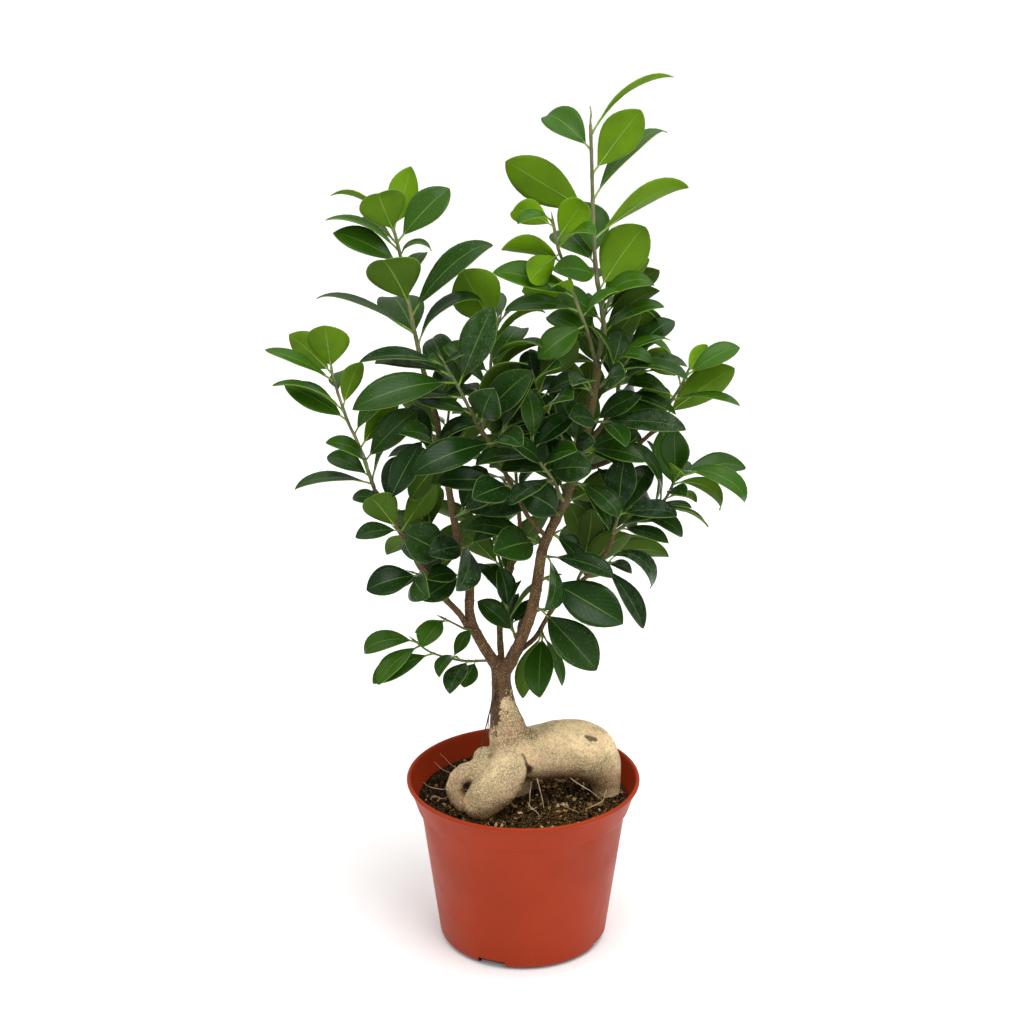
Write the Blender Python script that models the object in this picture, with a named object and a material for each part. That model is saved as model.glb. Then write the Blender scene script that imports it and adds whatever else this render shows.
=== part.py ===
"""Potted ginseng ficus: nursery pot, soil, swollen caudex, woody stems and leafy shoots.

Metres, +Z up. The origin is on the table under the pot's axis, +X is the plant's right, -Y its front.
Tables below are in millimetres and degrees. A shoot is a green twig with the leaves that grew on it, as one
closed body. Stems and shoots stop a hair's breadth short of the wood that carries them.
"""

import math
import random

import bmesh
import bpy
from mathutils import Matrix, Vector
from mathutils.bvhtree import BVHTree

MM = 0.001
SEAT_GAP = 0.3 * MM
GROWTH_SEED = 11

# Pot: outer and inner outline as (radius, height), from the middle of the underside round to the floor's middle.
POT_SEGMENTS = 40
POT_PROFILE = (
    (0.0, 0.0), (39.6, 0.0), (42.2, 1.2), (43.6, 3.6), (53.3, 74.2), (54.4, 75.0), (55.3, 76.4),
    (58.8, 87.4), (59.8, 87.9), (60.2, 88.8), (60.0, 89.6), (59.3, 90.0), (58.5, 89.6),
    (57.6, 87.0), (54.1, 76.0), (52.1, 73.6), (42.9, 8.6), (41.0, 7.0), (38.0, 6.2), (34.0, 2.4), (0.0, 2.4),
)
FOOT_NOTCHES = (-112.5, -22.5, 67.5, 157.5)
FOOT_NOTCH_SIZE = (12.0, 15.0, 4.4)
FOOT_NOTCH_REACH = 43.5
DRAIN_HOLE_RADIUS = 3.5
DRAIN_HOLE_REACH = 27.0
DRAIN_HOLES = 6

# Soil: its side follows the inside of the pot, its top is a low uneven mound.
SOIL_SIDE = ((0.0, 2.8), (33.8, 2.8), (37.8, 6.6), (40.7, 7.4), (42.5, 9.0), (51.6, 73.6), (53.5, 76.2),
             (54.0, 77.8))
SOIL_RINGS = (46.0, 38.0, 29.0, 20.0, 10.0)
SOIL_LEVEL = 77.0

# Caudex: (x, y, z, radius) along each swollen root; the first is the neck.
CAUDEX_LIMBS = (
    ((-11.6, 0.0, 150.0, 4.6), (-11.4, 0.0, 141.0, 5.0), (-10.8, 0.0, 133.0, 5.9), (-9.8, 0.0, 126.0, 7.3),
     (-8.2, 0.0, 118.0, 9.4), (-7.0, -1.0, 109.0, 10.6), (-5.0, 2.0, 96.0, 9.0), (-3.0, 6.0, 80.0, 7.0),
     (-2.0, 7.0, 62.0, 5.0)),
    ((-7.0, 0.0, 111.0, 8.0), (2.0, 0.0, 103.0, 12.8), (12.0, 2.0, 103.4, 14.6), (23.0, 3.0, 103.8, 15.4),
     (33.0, 4.0, 101.6, 14.7), (39.0, 5.0, 94.5, 11.8), (42.5, 5.0, 86.0, 8.4), (43.2, 5.0, 77.0, 7.0),
     (42.5, 5.0, 66.0, 5.6)),
    ((-7.0, -1.0, 111.0, 9.5), (-6.5, -8.0, 105.0, 9.2), (-8.0, -13.5, 99.5, 10.2), (-12.5, -17.5, 93.5, 10.8),
     (-18.5, -19.5, 88.0, 10.4), (-21.5, -19.8, 84.5, 9.2)),
    ((-7.0, -5.0, 102.0, 6.5), (-15.0, -7.5, 98.4, 6.6), (-23.0, -8.0, 96.2, 6.6), (-30.5, -8.0, 93.6, 6.2),
     (-34.6, -8.5, 87.5, 5.2), (-33.4, -10.0, 81.0, 4.4), (-30.5, -11.5, 77.5, 3.6)),
    ((-15.0, -2.0, 102.5, 3.2), (-20.8, -1.5, 103.2, 3.7), (-23.2, -2.0, 101.0, 3.0)),
)
CAUDEX_VOXEL = 2.4 * MM
CAUDEX_SMOOTHING = 3
CAUDEX_THINNING = 0.42

# Woody stems: radius at the foot and at the tip, then the path. Each stands on the caudex or on an earlier stem.
STEMS = {
    "right_stem": (3.2, 1.9, ((-9, -1, 150), (-3, -3, 163), (4, -6, 184), (7, -8, 202), (10, -8, 220),
                              (20, -4, 242), (29, 0, 268), (35, 4, 300), (36, 5, 311))),
    "left_stem": (2.9, 1.1, ((-13, 1, 150), (-22, 2, 165), (-27, 2, 178), (-27, 0, 193), (-27, -2, 206),
                             (-32, -4, 219), (-35, -6, 237), (-38, -6, 256), (-41, -6, 275), (-45, -6, 295),
                             (-51, -6, 319))),
    "back_stem": (1.7, 1.0, ((-11, 3, 150), (-12, 12, 170), (-9, 18, 184), (-6, 22, 197), (-2, 26, 215),
                             (-3, 27, 233))),
    "far_left_branch": (1.7, 1.1, ((-28, 2, 172), (-33, -2, 182), (-44, -8, 197), (-50, -12, 210),
                                   (-60, -16, 229), (-67, -18, 244), (-73, -18, 253))),
    "low_right_branch": (1.3, 1.0, ((-5, 1, 157), (6, 10, 163), (13, 14, 174), (20, 13, 184), (28, 7, 194),
                                    (37, 0, 206), (43, -5, 220), (45, -6, 226))),
    "centre_branch": (1.2, 1.0, ((10, -8, 226), (3, -14, 236), (-5, -16, 252), (-15, -14, 273), (-22, -11, 283))),
    "right_branch": (1.4, 1.1, ((26, 0, 256), (39, 12, 256), (54, 20, 261), (66, 24, 270))),
    "upper_branch": (1.2, 1.0, ((31, 1, 268), (36, 9, 273), (41, 17, 278), (45, 22, 285))),
}
STEM_SIDES = 6

# Shoots. Twig radius, number of leaves that simply follow the growth rule, path of the twig, then the leaves
# that have a place of their own: place along the twig from 0 to 1, seen angle, angle away from the front,
# length, width, turn, arch. Seen from the front and a little above, 0 points right and 90 up. With turn 0 a
# leaf shows its upper face, with 90 its edge, and with 180 its underside. Arch is its rise over its length.
VIEW_TILT = 20.0
SHOOTS = {
    "leader_shoot": (1.3, 0, ((36, 5, 313), (39, 5, 324), (37, 4, 341), (34.5, 3, 357), (33, 2, 378), (32, 1, 404),
                              (31, 0, 427)), (
        (0.96, 37, 8, 50, 11, 96, 0.12), (0.80, 51, -16, 38, 21, 165, 0.08), (0.90, 138, 26, 31, 18, 20, 0.10),
        (0.69, 45, 8, 53, 16, 55, 0.08), (0.63, 149, -6, 49, 22, 168, 0.10), (0.53, 30, 5, 53, 18, 112, 0.05),
        (0.31, 55, -20, 38, 26, 168, 0.10), (0.44, 97, 25, 34, 20, 15, 0.05), (0.42, 128, 32, 35, 22, 15, 0.10),
        (0.37, 177, -30, 34, 15, 20, 0.08), (0.27, 41, 15, 33, 15, 150, 0.10), (0.35, 62, 30, 34, 14, 30, 0.08),
        (0.22, 24, 10, 28, 15, 50, 0.30), (0.12, 22, -8, 32, 13, 55, 0.16), (0.17, 150, -15, 30, 14, 30, 0.10),
        (1.00, 92, 0, 10, 3, 90, 0.0))),
    "second_shoot": (1.1, 0, ((34, -1, 315), (31, -4, 327), (25, -8, 344), (21, -10, 358), (16, -11, 371),
                              (13.5, -12, 384)), (
        (0.97, 158, -25, 22, 14, 160, 0.16), (0.95, 178, 4, 23, 9, 60, 0.25), (0.72, 166, -10, 31, 16, 120, 0.14),
        (0.50, 166, -15, 42, 16, 30, 0.12), (0.80, 222, -25, 22, 15, 165, 0.06), (0.88, 52, -22, 23, 17, 165, 0.10),
        (0.66, 46, 4, 34, 9, 100, 0.10), (0.30, 214, -15, 29, 16, 15, 0.10), (0.22, 151, 20, 24, 13, 30, 0.10),
        (0.40, 178, -5, 36, 14, 45, 0.12), (0.36, 35, 15, 22, 12, 60, 0.10), (0.60, 186, -15, 27, 16, 160, 0.06))),
    "upper_left_shoot": (1.1, 0, ((-51, -6, 321), (-55, -6, 342), (-59, -6, 367), (-62, -6, 380)), (
        (0.98, 73, 14, 33, 16, 160, 0.06), (1.00, 116, -50, 27, 24, 172, 0.0), (0.93, 147, 12, 38, 9, 100, 0.14),
        (0.88, 49, 15, 36, 18, 15, 0.04), (0.81, 157, 0, 38, 14, 72, 0.12), (0.85, 143, 20, 31, 13, 100, 0.08),
        (0.70, 153, -12, 36, 16, 32, 0.06), (0.38, 117, -36, 31, 28, 168, 0.04), (0.28, 40, -8, 52, 18, 38, 0.12),
        (0.14, 161, 0, 51, 13, 70, 0.08), (0.03, 32, -5, 38, 15, 60, 0.22), (0.08, 118, 42, 36, 24, 20, 0.10),
        (0.20, 24, 38, 34, 16, 30, 0.10), (0.75, 14, 0, 15, 6, 60, 0.35), (0.55, 60, 25, 20, 12, 40, 0.10))),
    "far_left_shoot": (1.0, 0, ((-73, -18, 254), (-80, -18, 276), (-85, -18, 288), (-91, -18, 308),
                                (-92, -18, 314)), (
        (1.00, 96, -44, 28, 22, 172, 0.0), (0.96, 139, 16, 30, 17, 152, 0.06), (0.90, 155, 5, 36, 12, 62, 0.05),
        (0.57, 149, -12, 35, 16, 35, 0.06), (0.64, 160, 2, 40, 12, 75, 0.12), (0.68, 66, -8, 24, 13, 140, 0.08),
        (0.80, 84, 35, 22, 12, 30, 0.10), (0.02, 183, 0, 38, 12, 66, 0.10), (0.05, 56, 6, 38, 11, 66, 0.12),
        (0.22, 42, -10, 36, 17, 22, 0.10), (0.33, 52, 8, 31, 13, 150, 0.08), (0.14, 147, -12, 31, 14, 60, 0.20),
        (0.09, 156, 12, 24, 13, 40, 0.10), (0.45, 48, 20, 26, 12, 40, 0.10))),
    "left_centre_shoot": (1.0, 1, ((-23, -11, 285), (-32, -16, 305), (-39, -18, 318)), (
        (0.08, 44, -20, 42, 17, 120, 0.16), (0.16, 168, -10, 30, 13, 40, 0.10), (0.42, 181, -10, 43, 15, 50, 0.05),
        (0.60, 64, -18, 43, 18, 10, 0.04), (0.66, 195, -24, 55, 18, 25, 0.12), (0.76, 170, 25, 38, 14, 50, 0.10),
        (0.92, 178, -14, 42, 14, 55, 0.10), (0.97, 20, 5, 12, 7, 60, 0.0), (1.00, 156, -25, 17, 8, 60, 0.05))),
    "heart_shoot": (1.0, 1, ((-20, -8, 281), (-17, -4, 294), (-16, -4, 314), (-15, -4, 324), (-12, -5, 334)), (
        (0.92, 122, -22, 33, 27, 170, 0.05), (0.95, 118, 18, 55, 14, 62, 0.12), (0.75, 33, -5, 31, 13, 100, 0.14),
        (0.40, 41, -5, 31, 14, 100, 0.12), (0.52, 150, -15, 27, 14, 30, 0.10), (0.98, 30, 0, 33, 12, 70, 0.12))),
    "right_upper_shoot": (1.0, 1, ((67, 24, 271), (72, 22, 283), (78, 20, 294), (81, 18, 302)), (
        (0.20, 32, -12, 44, 19, 160, 0.08), (0.92, 27, 5, 31, 14, 40, 0.08), (0.98, 52, 15, 28, 13, 160, 0.06),
        (0.12, 279, -25, 33, 18, 15, 0.05), (0.94, 148, -10, 24, 14, 160, 0.10), (0.08, 106, -40, 23, 20, 170, 0.05),
        (0.10, 29, 16, 31, 10, 60, 0.05), (0.55, 168, -15, 26, 13, 50, 0.12),
        (0.42, 100, 25, 22, 13, 20, 0.0), (0.30, 190, -10, 26, 13, 40, 0.10))),
    "right_lower_shoot": (1.0, 1, ((46, -6, 227), (58, -4, 235), (69, -2, 241), (76, -4, 257)), (
        (0.98, 335, -12, 36, 15, 48, 0.22), (0.93, 10, 6, 37, 14, 42, 0.12), (0.84, 329, -18, 27, 13, 125, 0.30),
        (0.90, 90, -20, 29, 16, 10, 0.05), (0.06, 343, -25, 27, 12, 50, 0.10), (0.12, 18, -10, 18, 9, 60, 0.10),
        (0.26, 337, 10, 25, 13, 50, 0.20), (0.34, 356, -30, 29, 13, 40, 0.10), (0.44, 3, -18, 23, 9, 74, 0.10),
        (0.56, 123, -10, 36, 12, 60, 0.20), (0.64, 356, -5, 19, 10, 110, 0.15), (0.74, 341, -22, 18, 10, 45, 0.15),
        (0.78, 60, 30, 26, 13, 20, 0.10))),
    "right_near_shoot": (1.0, 1, ((45, -5, 228), (46, -8, 233), (47, -10, 238)), (
        (0.70, 84, -12, 31, 17, 14, 0.06), (0.35, 108, -10, 29, 10, 55, 0.12), (0.90, 357, -15, 29, 12, 40, 0.10),
        (1.00, 60, 15, 26, 13, 35, 0.10))),
    "arching_spur": (0.8, 0, ((39, -3, 208), (43, -6, 210)), (
        (1.00, 328, -8, 24, 12, 50, 0.42), (0.20, 301, 0, 38, 14, 42, 0.08), (0.55, 340, 15, 16, 9, 50, 0.10))),
    "front_spur_a": (0.8, 1, ((10, -10, 215), (13, -13, 216)), ((1.0, 340, -15, 34, 14, 40, 0.10),)),
    "front_spur_b": (0.8, 0, ((9, -10, 204), (12, -13, 204)), ((1.0, 327, -18, 45, 23, 15, 0.08),)),
    "front_spur_c": (0.8, 0, ((6, -8, 187), (9, -11, 187)), ((1.0, 311, -15, 42, 22, 15, 0.07),)),
    "hanging_spur": (0.8, 1, ((9, 11, 167), (10, 7, 166)), (
        (0.40, 254, 8, 36, 14, 150, 0.05), (0.60, 292, 12, 29, 9, 50, 0.05), (1.00, 268, -18, 39, 17, 18, 0.05))),
    "low_left_twig": (0.8, 0, ((-18, -1, 155), (-31, -8, 158), (-46, -12, 164), (-54, -14, 171)), (
        (0.16, 247, -28, 16, 11, 20, 0.10), (0.26, 238, -15, 26, 13, 35, 0.10), (0.36, 213, -20, 22, 10, 60, 0.24),
        (0.48, 60, 0, 17, 9, 40, 0.0), (0.72, 207, -8, 34, 14, 35, 0.10), (0.92, 222, -20, 30, 13, 40, 0.10),
        (1.00, 192, 0, 27, 13, 40, 0.22))),
    "small_left_twig": (0.7, 0, ((-30, -2, 173), (-40, -8, 181)), (
        (0.80, 200, 0, 18, 9, 110, 0.10), (1.00, 230, -10, 20, 14, 30, 0.08))),
    "branch_spur_low": (0.7, 1, ((-49, -14, 206), (-54, -17, 209)), (
        (0.15, 205, 20, 16, 7, 50, 0.05), (0.50, 193, -12, 28, 17, 25, 0.08), (1.00, 176, 10, 24, 10, 60, 0.14))),
    "branch_spur_middle": (0.8, 0, ((-58, -17, 229), (-62, -22, 234)), (
        (1.00, 128, -20, 26, 18, 165, 0.05), (0.45, 55, 5, 29, 14, 165, 0.05), (0.20, 190, -15, 22, 12, 40, 0.10))),
    "branch_spur_high": (0.7, 1, ((-66, -20, 245), (-66, -24, 248)), (
        (0.40, 75, 10, 26, 12, 40, 0.15), (1.00, 172, -10, 25, 13, 40, 0.10), (0.70, 292, -15, 20, 14, 20, 0.08))),
    "round_leaf_spur": (0.7, 0, ((-34, -6, 216), (-37, -12, 215)), (
        (1.00, 152, -20, 29, 22, 10, 0.06), (0.40, 203, -22, 28, 15, 20, 0.10))),
    "left_low_spur": (0.8, 0, ((-30, -6, 203), (-32, -10, 205)), (
        (0.60, 214, -10, 24, 15, 25, 0.08), (1.00, 184, -12, 22, 13, 40, 0.10))),
    "left_middle_spur": (0.7, 1, ((-30, -8, 219), (-27, -11, 221)), (
        (0.30, 192, -14, 25, 15, 22, 0.10), (0.90, 28, 5, 25, 13, 40, 0.10))),
    "left_high_spur": (0.7, 1, ((-33, -9, 236), (-30, -12, 239)), (
        (0.60, 60, 5, 26, 15, 20, 0.10), (1.00, 26, -15, 30, 14, 35, 0.10))),
    "left_side_shoot": (0.9, 1, ((-41, -8, 262), (-43, -12, 268), (-44, -14, 275)), (
        (0.20, 236, -10, 24, 13, 150, 0.10), (0.40, 197, 10, 22, 9, 60, 0.10), (0.70, 185, 15, 24, 10, 60, 0.10),
        (1.00, 165, -10, 28, 13, 40, 0.14))),
    "left_upper_spur": (0.8, 2, ((-44, -8, 291), (-42, -12, 296)), (
        (0.30, 20, -15, 26, 12, 50, 0.10), (0.60, 172, -20, 27, 12, 50, 0.10), (1.00, 65, -10, 26, 13, 40, 0.10))),
    "centre_shoot": (1.0, 2, ((18, -8, 246), (14, -14, 257), (7, -18, 268), (4, -20, 278)), (
        (0.55, 3, -25, 24, 18, 20, 0.08), (0.50, 175, -20, 25, 12, 50, 0.10), (0.65, 145, -15, 28, 12, 40, 0.10),
        (0.90, 40, -20, 24, 13, 30, 0.10), (1.00, 98, -10, 27, 14, 30, 0.10))),
    "centre_high_shoot": (0.9, 2, ((-14, -15, 275), (-9, -15, 284), (-6, -14, 294)), (
        (0.06, 202, -16, 47, 18, 20, 0.12), (0.16, 345, -20, 31, 14, 40, 0.12), (0.36, 59, -20, 34, 13, 40, 0.12),
        (0.52, 80, 0, 38, 15, 15, 0.05), (0.80, 40, -5, 27, 12, 40, 0.10), (1.00, 130, -15, 27, 14, 40, 0.10))),
    "inner_top_shoot": (0.9, 4, ((26, -3, 262), (16, -10, 282), (8, -14, 298), (5, -15, 308)), (
        (0.80, 25, 15, 25, 12, 40, 0.10), (0.90, 200, -10, 24, 12, 50, 0.10), (1.00, 44, -15, 28, 17, 165, 0.05))),
    "right_mid_spur": (0.8, 0, ((29, -3, 267), (31, -8, 270)), (
        (1.00, 350, -22, 31, 13, 40, 0.10), (0.30, 345, 12, 30, 13, 40, 0.10), (0.60, 20, -12, 27, 13, 30, 0.10),
        (0.80, 118, -10, 26, 13, 30, 0.10))),
    "right_high_spur": (0.8, 0, ((33, 0, 296), (32, -5, 301)), (
        (0.30, 143, -10, 25, 10, 140, 0.10), (0.60, 181, -25, 30, 11, 50, 0.10), (1.00, 188, -30, 35, 13, 60, 0.10))),
    "shelf_shoot": (0.9, 2, ((37, 2, 299), (42, -4, 307), (46, -5, 315)), (
        (0.10, 10, -15, 42, 12, 65, 0.12), (0.30, 4, -25, 24, 16, 20, 0.05), (0.50, 355, -20, 42, 13, 60, 0.14),
        (0.70, 22, 10, 33, 15, 30, 0.05), (0.85, 357, -30, 19, 10, 50, 0.30), (1.00, 22, -5, 29, 12, 60, 0.16))),
    "light_shoot": (0.9, 6, ((46, 22, 287), (48, 22, 296), (50, 21, 306)), (
        (0.10, 342, -15, 37, 12, 50, 0.15), (0.30, 335, 25, 31, 14, 40, 0.10))),
    "lower_centre_spur": (0.8, 0, ((8, -6, 222), (5, -10, 222)), (
        (0.40, 168, -20, 38, 14, 50, 0.08), (1.00, 192, -12, 38, 20, 22, 0.08))),
    "lower_right_spur": (0.8, 0, ((13, -5, 224), (16, -3, 225)), (
        (0.30, 310, 5, 25, 11, 40, 0.10), (0.60, 315, 20, 25, 13, 40, 0.10), (1.00, 325, 15, 22, 16, 20, 0.0))),
    "curled_leaf_spur": (0.8, 0, ((16, -8, 236), (17, -12, 238)), ((1.0, 147, -25, 23, 19, 15, 0.22),)),
    "right_fork_spur": (0.8, 0, ((25, -4, 251), (28, -7, 252)), (
        (0.50, 303, 10, 28, 10, 50, 0.10), (1.00, 319, -20, 26, 13, 30, 0.15))),
    "between_stems_twig": (0.8, 0, ((-3, 0, 164), (-6, 4, 172), (-9, 7, 182)), (
        (0.25, 140, -10, 25, 13, 28, 0.12), (0.50, 40, 10, 18, 10, 40, 0.0), (0.75, 70, -10, 20, 8, 60, 0.10),
        (1.00, 128, -10, 29, 12, 60, 0.15))),
    "heart_side_spur": (0.8, 0, ((-23, -13, 284), (-20, -17, 288)), (
        (0.50, 45, -20, 40, 18, 20, 0.06), (1.00, 68, -30, 33, 19, 15, 0.05), (0.30, 172, -15, 36, 14, 30, 0.08),
        (0.75, 200, 5, 28, 13, 40, 0.10))),
    "centre_mid_spur": (0.8, 1, ((27, -4, 270), (24, -9, 273)), (
        (0.40, 151, -25, 26, 13, 40, 0.08), (0.95, 187, -20, 27, 20, 20, 0.05), (0.70, 110, -15, 28, 14, 30, 0.08))),
    "right_outer_spur": (0.8, 0, ((34, -1, 282), (39, -7, 284)), (
        (0.60, 352, -15, 43, 14, 30, 0.08), (0.40, 170, -25, 27, 14, 30, 0.05), (0.80, 312, -10, 30, 12, 40, 0.08),
        (1.00, 30, -25, 28, 13, 30, 0.10))),
    "left_inner_spur": (0.8, 0, ((-7, -19, 255), (-9, -22, 258)), (
        (0.40, 205, -15, 36, 17, 20, 0.06), (0.70, 178, -10, 34, 14, 25, 0.06), (1.00, 140, -20, 26, 13, 30, 0.10))),
    "back_shoot_mid": (0.9, 10, ((22, 1, 240), (16, 20, 250), (12, 38, 264)), ()),
    "back_shoot_low": (0.9, 8, ((-8, 20, 187), (-12, 33, 196), (-16, 46, 206)), ()),
    "back_shoot_top": (0.9, 9, ((-3, 27, 234), (-4, 38, 250), (-2, 48, 266)), ()),
    "back_shoot_left": (0.9, 9, ((-38, -3, 262), (-38, 16, 274), (-36, 32, 290)), ()),
    "back_shoot_right": (0.9, 9, ((27, 3, 260), (31, 26, 270), (34, 42, 286)), ()),
    "back_shoot_high": (0.9, 9, ((36, 8, 304), (38, 26, 318), (42, 38, 332)), ()),
    "back_shoot_outer": (0.9, 8, ((-43, -5, 198), (-46, 14, 212), (-50, 28, 226)), ()),
    "back_shoot_far_right": (0.9, 9, ((28, 10, 196), (36, 26, 206), (44, 38, 216)), ()),
}
GOLDEN_ANGLE = 137.5
RULE_LENGTH = 36.0
RULE_WIDTH = 16.5

# Leaf outline: (place along the blade, share of the full width). The stalk ends where the blade starts.
STALK_SHARE = 0.13
LONG_TWIG = 30.0 * MM
LEAF_OUTLINE = ((0.36, 0.92), (0.74, 0.92))
LEAF_THICKNESS = 0.8 * MM
LEAF_FOLD = 0.18
STALK_WIDTH = 1.0 * MM
LEAF_MARGIN = 0.5 * MM
TWIG_SIDES = 4
END_LEAF_ALIGNMENT = 0.5
ASIDE_STEPS = (0, -10, 10, -20, 20, -32, 32, -45, 45)

COLOURS = {
    "pot_plastic": ((0.42, 0.065, 0.03), 0.5),
    "potting_soil": ((0.03, 0.02, 0.013), 0.95),
    "caudex_bark": ((0.48, 0.36, 0.22), 0.75),
    "stem_bark": ((0.16, 0.10, 0.06), 0.85),
    "leaf_green": ((0.03, 0.12, 0.02), 0.4),
    "young_leaf_green": ((0.15, 0.33, 0.03), 0.45),
}
YOUNG_SHOOTS = ("leader_shoot", "second_shoot", "upper_left_shoot", "far_left_shoot", "right_upper_shoot")


def clear_scene():
    for obj in list(bpy.data.objects):
        bpy.data.objects.remove(obj, do_unlink=True)


def point(xyz):
    return Vector(xyz[:3]) * MM


def material_for(slot):
    material = bpy.data.materials.get(slot)
    if material is None:
        colour, roughness = COLOURS[slot]
        material = bpy.data.materials.new(slot)
        material.use_nodes = True
        shader = material.node_tree.nodes["Principled BSDF"]
        shader.inputs["Base Color"].default_value = (*colour, 1.0)
        shader.inputs["Roughness"].default_value = roughness
    return material


def add_object(name, mesh_source, slot, smooth=False):
    """Names a bmesh as one object with its material."""
    mesh = bpy.data.meshes.new(name)
    mesh_source.to_mesh(mesh)
    mesh_source.free()
    for polygon in mesh.polygons:
        polygon.use_smooth = smooth
    mesh.materials.append(material_for(slot))
    obj = bpy.data.objects.new(name, mesh)
    bpy.context.scene.collection.objects.link(obj)
    return obj


def hide_as_cutter(obj):
    obj.hide_render = True
    obj.display_type = "WIRE"


def settle_modifiers(obj):
    """Replaces the object's mesh by its shape with the modifiers applied."""
    bpy.context.view_layer.update()
    graph = bpy.context.evaluated_depsgraph_get()
    mesh = bpy.data.meshes.new_from_object(obj.evaluated_get(graph))
    obj.modifiers.clear()
    old = obj.data
    obj.data = mesh
    bpy.data.meshes.remove(old)


def cut_away(obj, cutter, name):
    cut = obj.modifiers.new(name, "BOOLEAN")
    cut.operation = "DIFFERENCE"
    cut.solver = "EXACT"
    cut.object = cutter


def spun(profile, segments):
    """A closed body of revolution from an outline that starts and ends on the axis."""
    shape = bmesh.new()
    line = [shape.verts.new((radius * MM, 0.0, height * MM)) for radius, height in profile]
    edges = [shape.edges.new(pair) for pair in zip(line, line[1:])]
    bmesh.ops.spin(shape, geom=line + edges, axis=(0, 0, 1), cent=(0, 0, 0), angle=math.tau, steps=segments,
                   use_merge=True, use_duplicate=False)
    bmesh.ops.remove_doubles(shape, verts=shape.verts, dist=0.00001)
    bmesh.ops.recalc_face_normals(shape, faces=shape.faces)
    return shape


def drain_cutters():
    """Channels that cross the edge of the foot, and round holes through the floor."""
    cutters = bmesh.new()
    depth, width, height = (side * MM for side in FOOT_NOTCH_SIZE)
    for angle in FOOT_NOTCHES:
        place = (Matrix.Rotation(math.radians(angle), 4, "Z")
                 @ Matrix.Translation((FOOT_NOTCH_REACH * MM, 0.0, height / 2 - 1.0 * MM))
                 @ Matrix.Diagonal((depth, width, height + 2.0 * MM, 1.0)))
        bmesh.ops.create_cube(cutters, size=1.0, matrix=place)
    for index in range(DRAIN_HOLES):
        turn = Matrix.Rotation(math.tau * (index + 0.5) / DRAIN_HOLES, 4, "Z")
        place = turn @ Matrix.Translation((DRAIN_HOLE_REACH * MM, 0.0, 1.0 * MM))
        bmesh.ops.create_cone(cutters, cap_ends=True, segments=12, radius1=DRAIN_HOLE_RADIUS * MM,
                              radius2=DRAIN_HOLE_RADIUS * MM, depth=6.0 * MM, matrix=place)
    return cutters


def make_pot():
    pot = add_object("pot", spun(POT_PROFILE, POT_SEGMENTS), "pot_plastic", smooth=True)
    cutter = add_object("drain_cutter", drain_cutters(), "pot_plastic")
    hide_as_cutter(cutter)
    cut_away(pot, cutter, "drainage")
    return pot


def mound(x, y):
    """Height of the soil, in millimetres, over its edge."""
    ripple = 0.9 * math.sin(0.16 * x + 0.5) * math.cos(0.14 * y - 0.4)
    hollow = -2.0 * math.exp(-((x + 36.0) ** 2 + (y - 4.0) ** 2) / 160.0)
    rise = 2.4 * math.exp(-((x - 14.0) ** 2 + (y + 16.0) ** 2) / 420.0)
    return ripple + hollow + rise


def make_soil(caudex):
    outline = SOIL_SIDE + tuple((radius, SOIL_LEVEL) for radius in SOIL_RINGS) + ((0.0, SOIL_LEVEL),)
    shape = spun(outline, 32)
    for vert in shape.verts:
        reach = math.hypot(vert.co.x, vert.co.y) / MM
        if vert.co.z > (SOIL_LEVEL - 0.1) * MM and reach < 47.0:
            vert.co.z += mound(vert.co.x / MM, vert.co.y / MM) * MM
    soil = add_object("soil", shape, "potting_soil", smooth=True)
    hollow = bmesh.new()
    hollow.from_mesh(caudex.data)
    hollow.normal_update()
    for vert in hollow.verts:
        vert.co += vert.normal * SEAT_GAP * 1.3
    cutter = add_object("root_hollow_cutter", hollow, "potting_soil")
    hide_as_cutter(cutter)
    cut_away(soil, cutter, "root_hollow")
    return soil


def curve_points(path, steps):
    """Points on a smooth curve through the given ones; each may carry a radius as its last number."""
    rows = [Vector(row) for row in path]
    rows = [rows[0] * 2 - rows[1]] + rows + [rows[-1] * 2 - rows[-2]]
    found = []
    for a, b, c, d in zip(rows, rows[1:], rows[2:], rows[3:]):
        for step in range(steps):
            t = step / steps
            found.append(0.5 * (2 * b + (c - a) * t + (2 * a - 5 * b + 4 * c - d) * t * t
                                + (3 * b - a - 3 * c + d) * t * t * t))
    found.append(rows[-2])
    return found


def make_caudex():
    """Balls along each swollen root, melted into one skin."""
    shape = bmesh.new()
    for limb in CAUDEX_LIMBS:
        for ball in curve_points(limb, 5):
            place = Matrix.Translation(point(ball))
            bmesh.ops.create_icosphere(shape, subdivisions=2, radius=ball[3] * MM, matrix=place)
    caudex = add_object("caudex", shape, "caudex_bark", smooth=True)
    skin = caudex.modifiers.new("skin", "REMESH")
    skin.mode = "VOXEL"
    skin.voxel_size = CAUDEX_VOXEL
    skin.use_smooth_shade = True
    soften = caudex.modifiers.new("soften", "SMOOTH")
    soften.factor = 0.5
    soften.iterations = CAUDEX_SMOOTHING
    thin = caudex.modifiers.new("thin", "DECIMATE")
    thin.ratio = CAUDEX_THINNING
    settle_modifiers(caudex)
    return caudex


def along(path, share):
    """Point and direction at a share of the length of a line of points."""
    lengths = [(b - a).length for a, b in zip(path, path[1:])]
    left = min(max(share, 0.0), 1.0) * sum(lengths)
    for a, b, length in zip(path, path[1:], lengths):
        if left <= length + 1e-9:
            return a.lerp(b, left / length), (b - a).normalized()
        left -= length
    return path[-1].copy(), (path[-1] - path[-2]).normalized()


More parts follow.
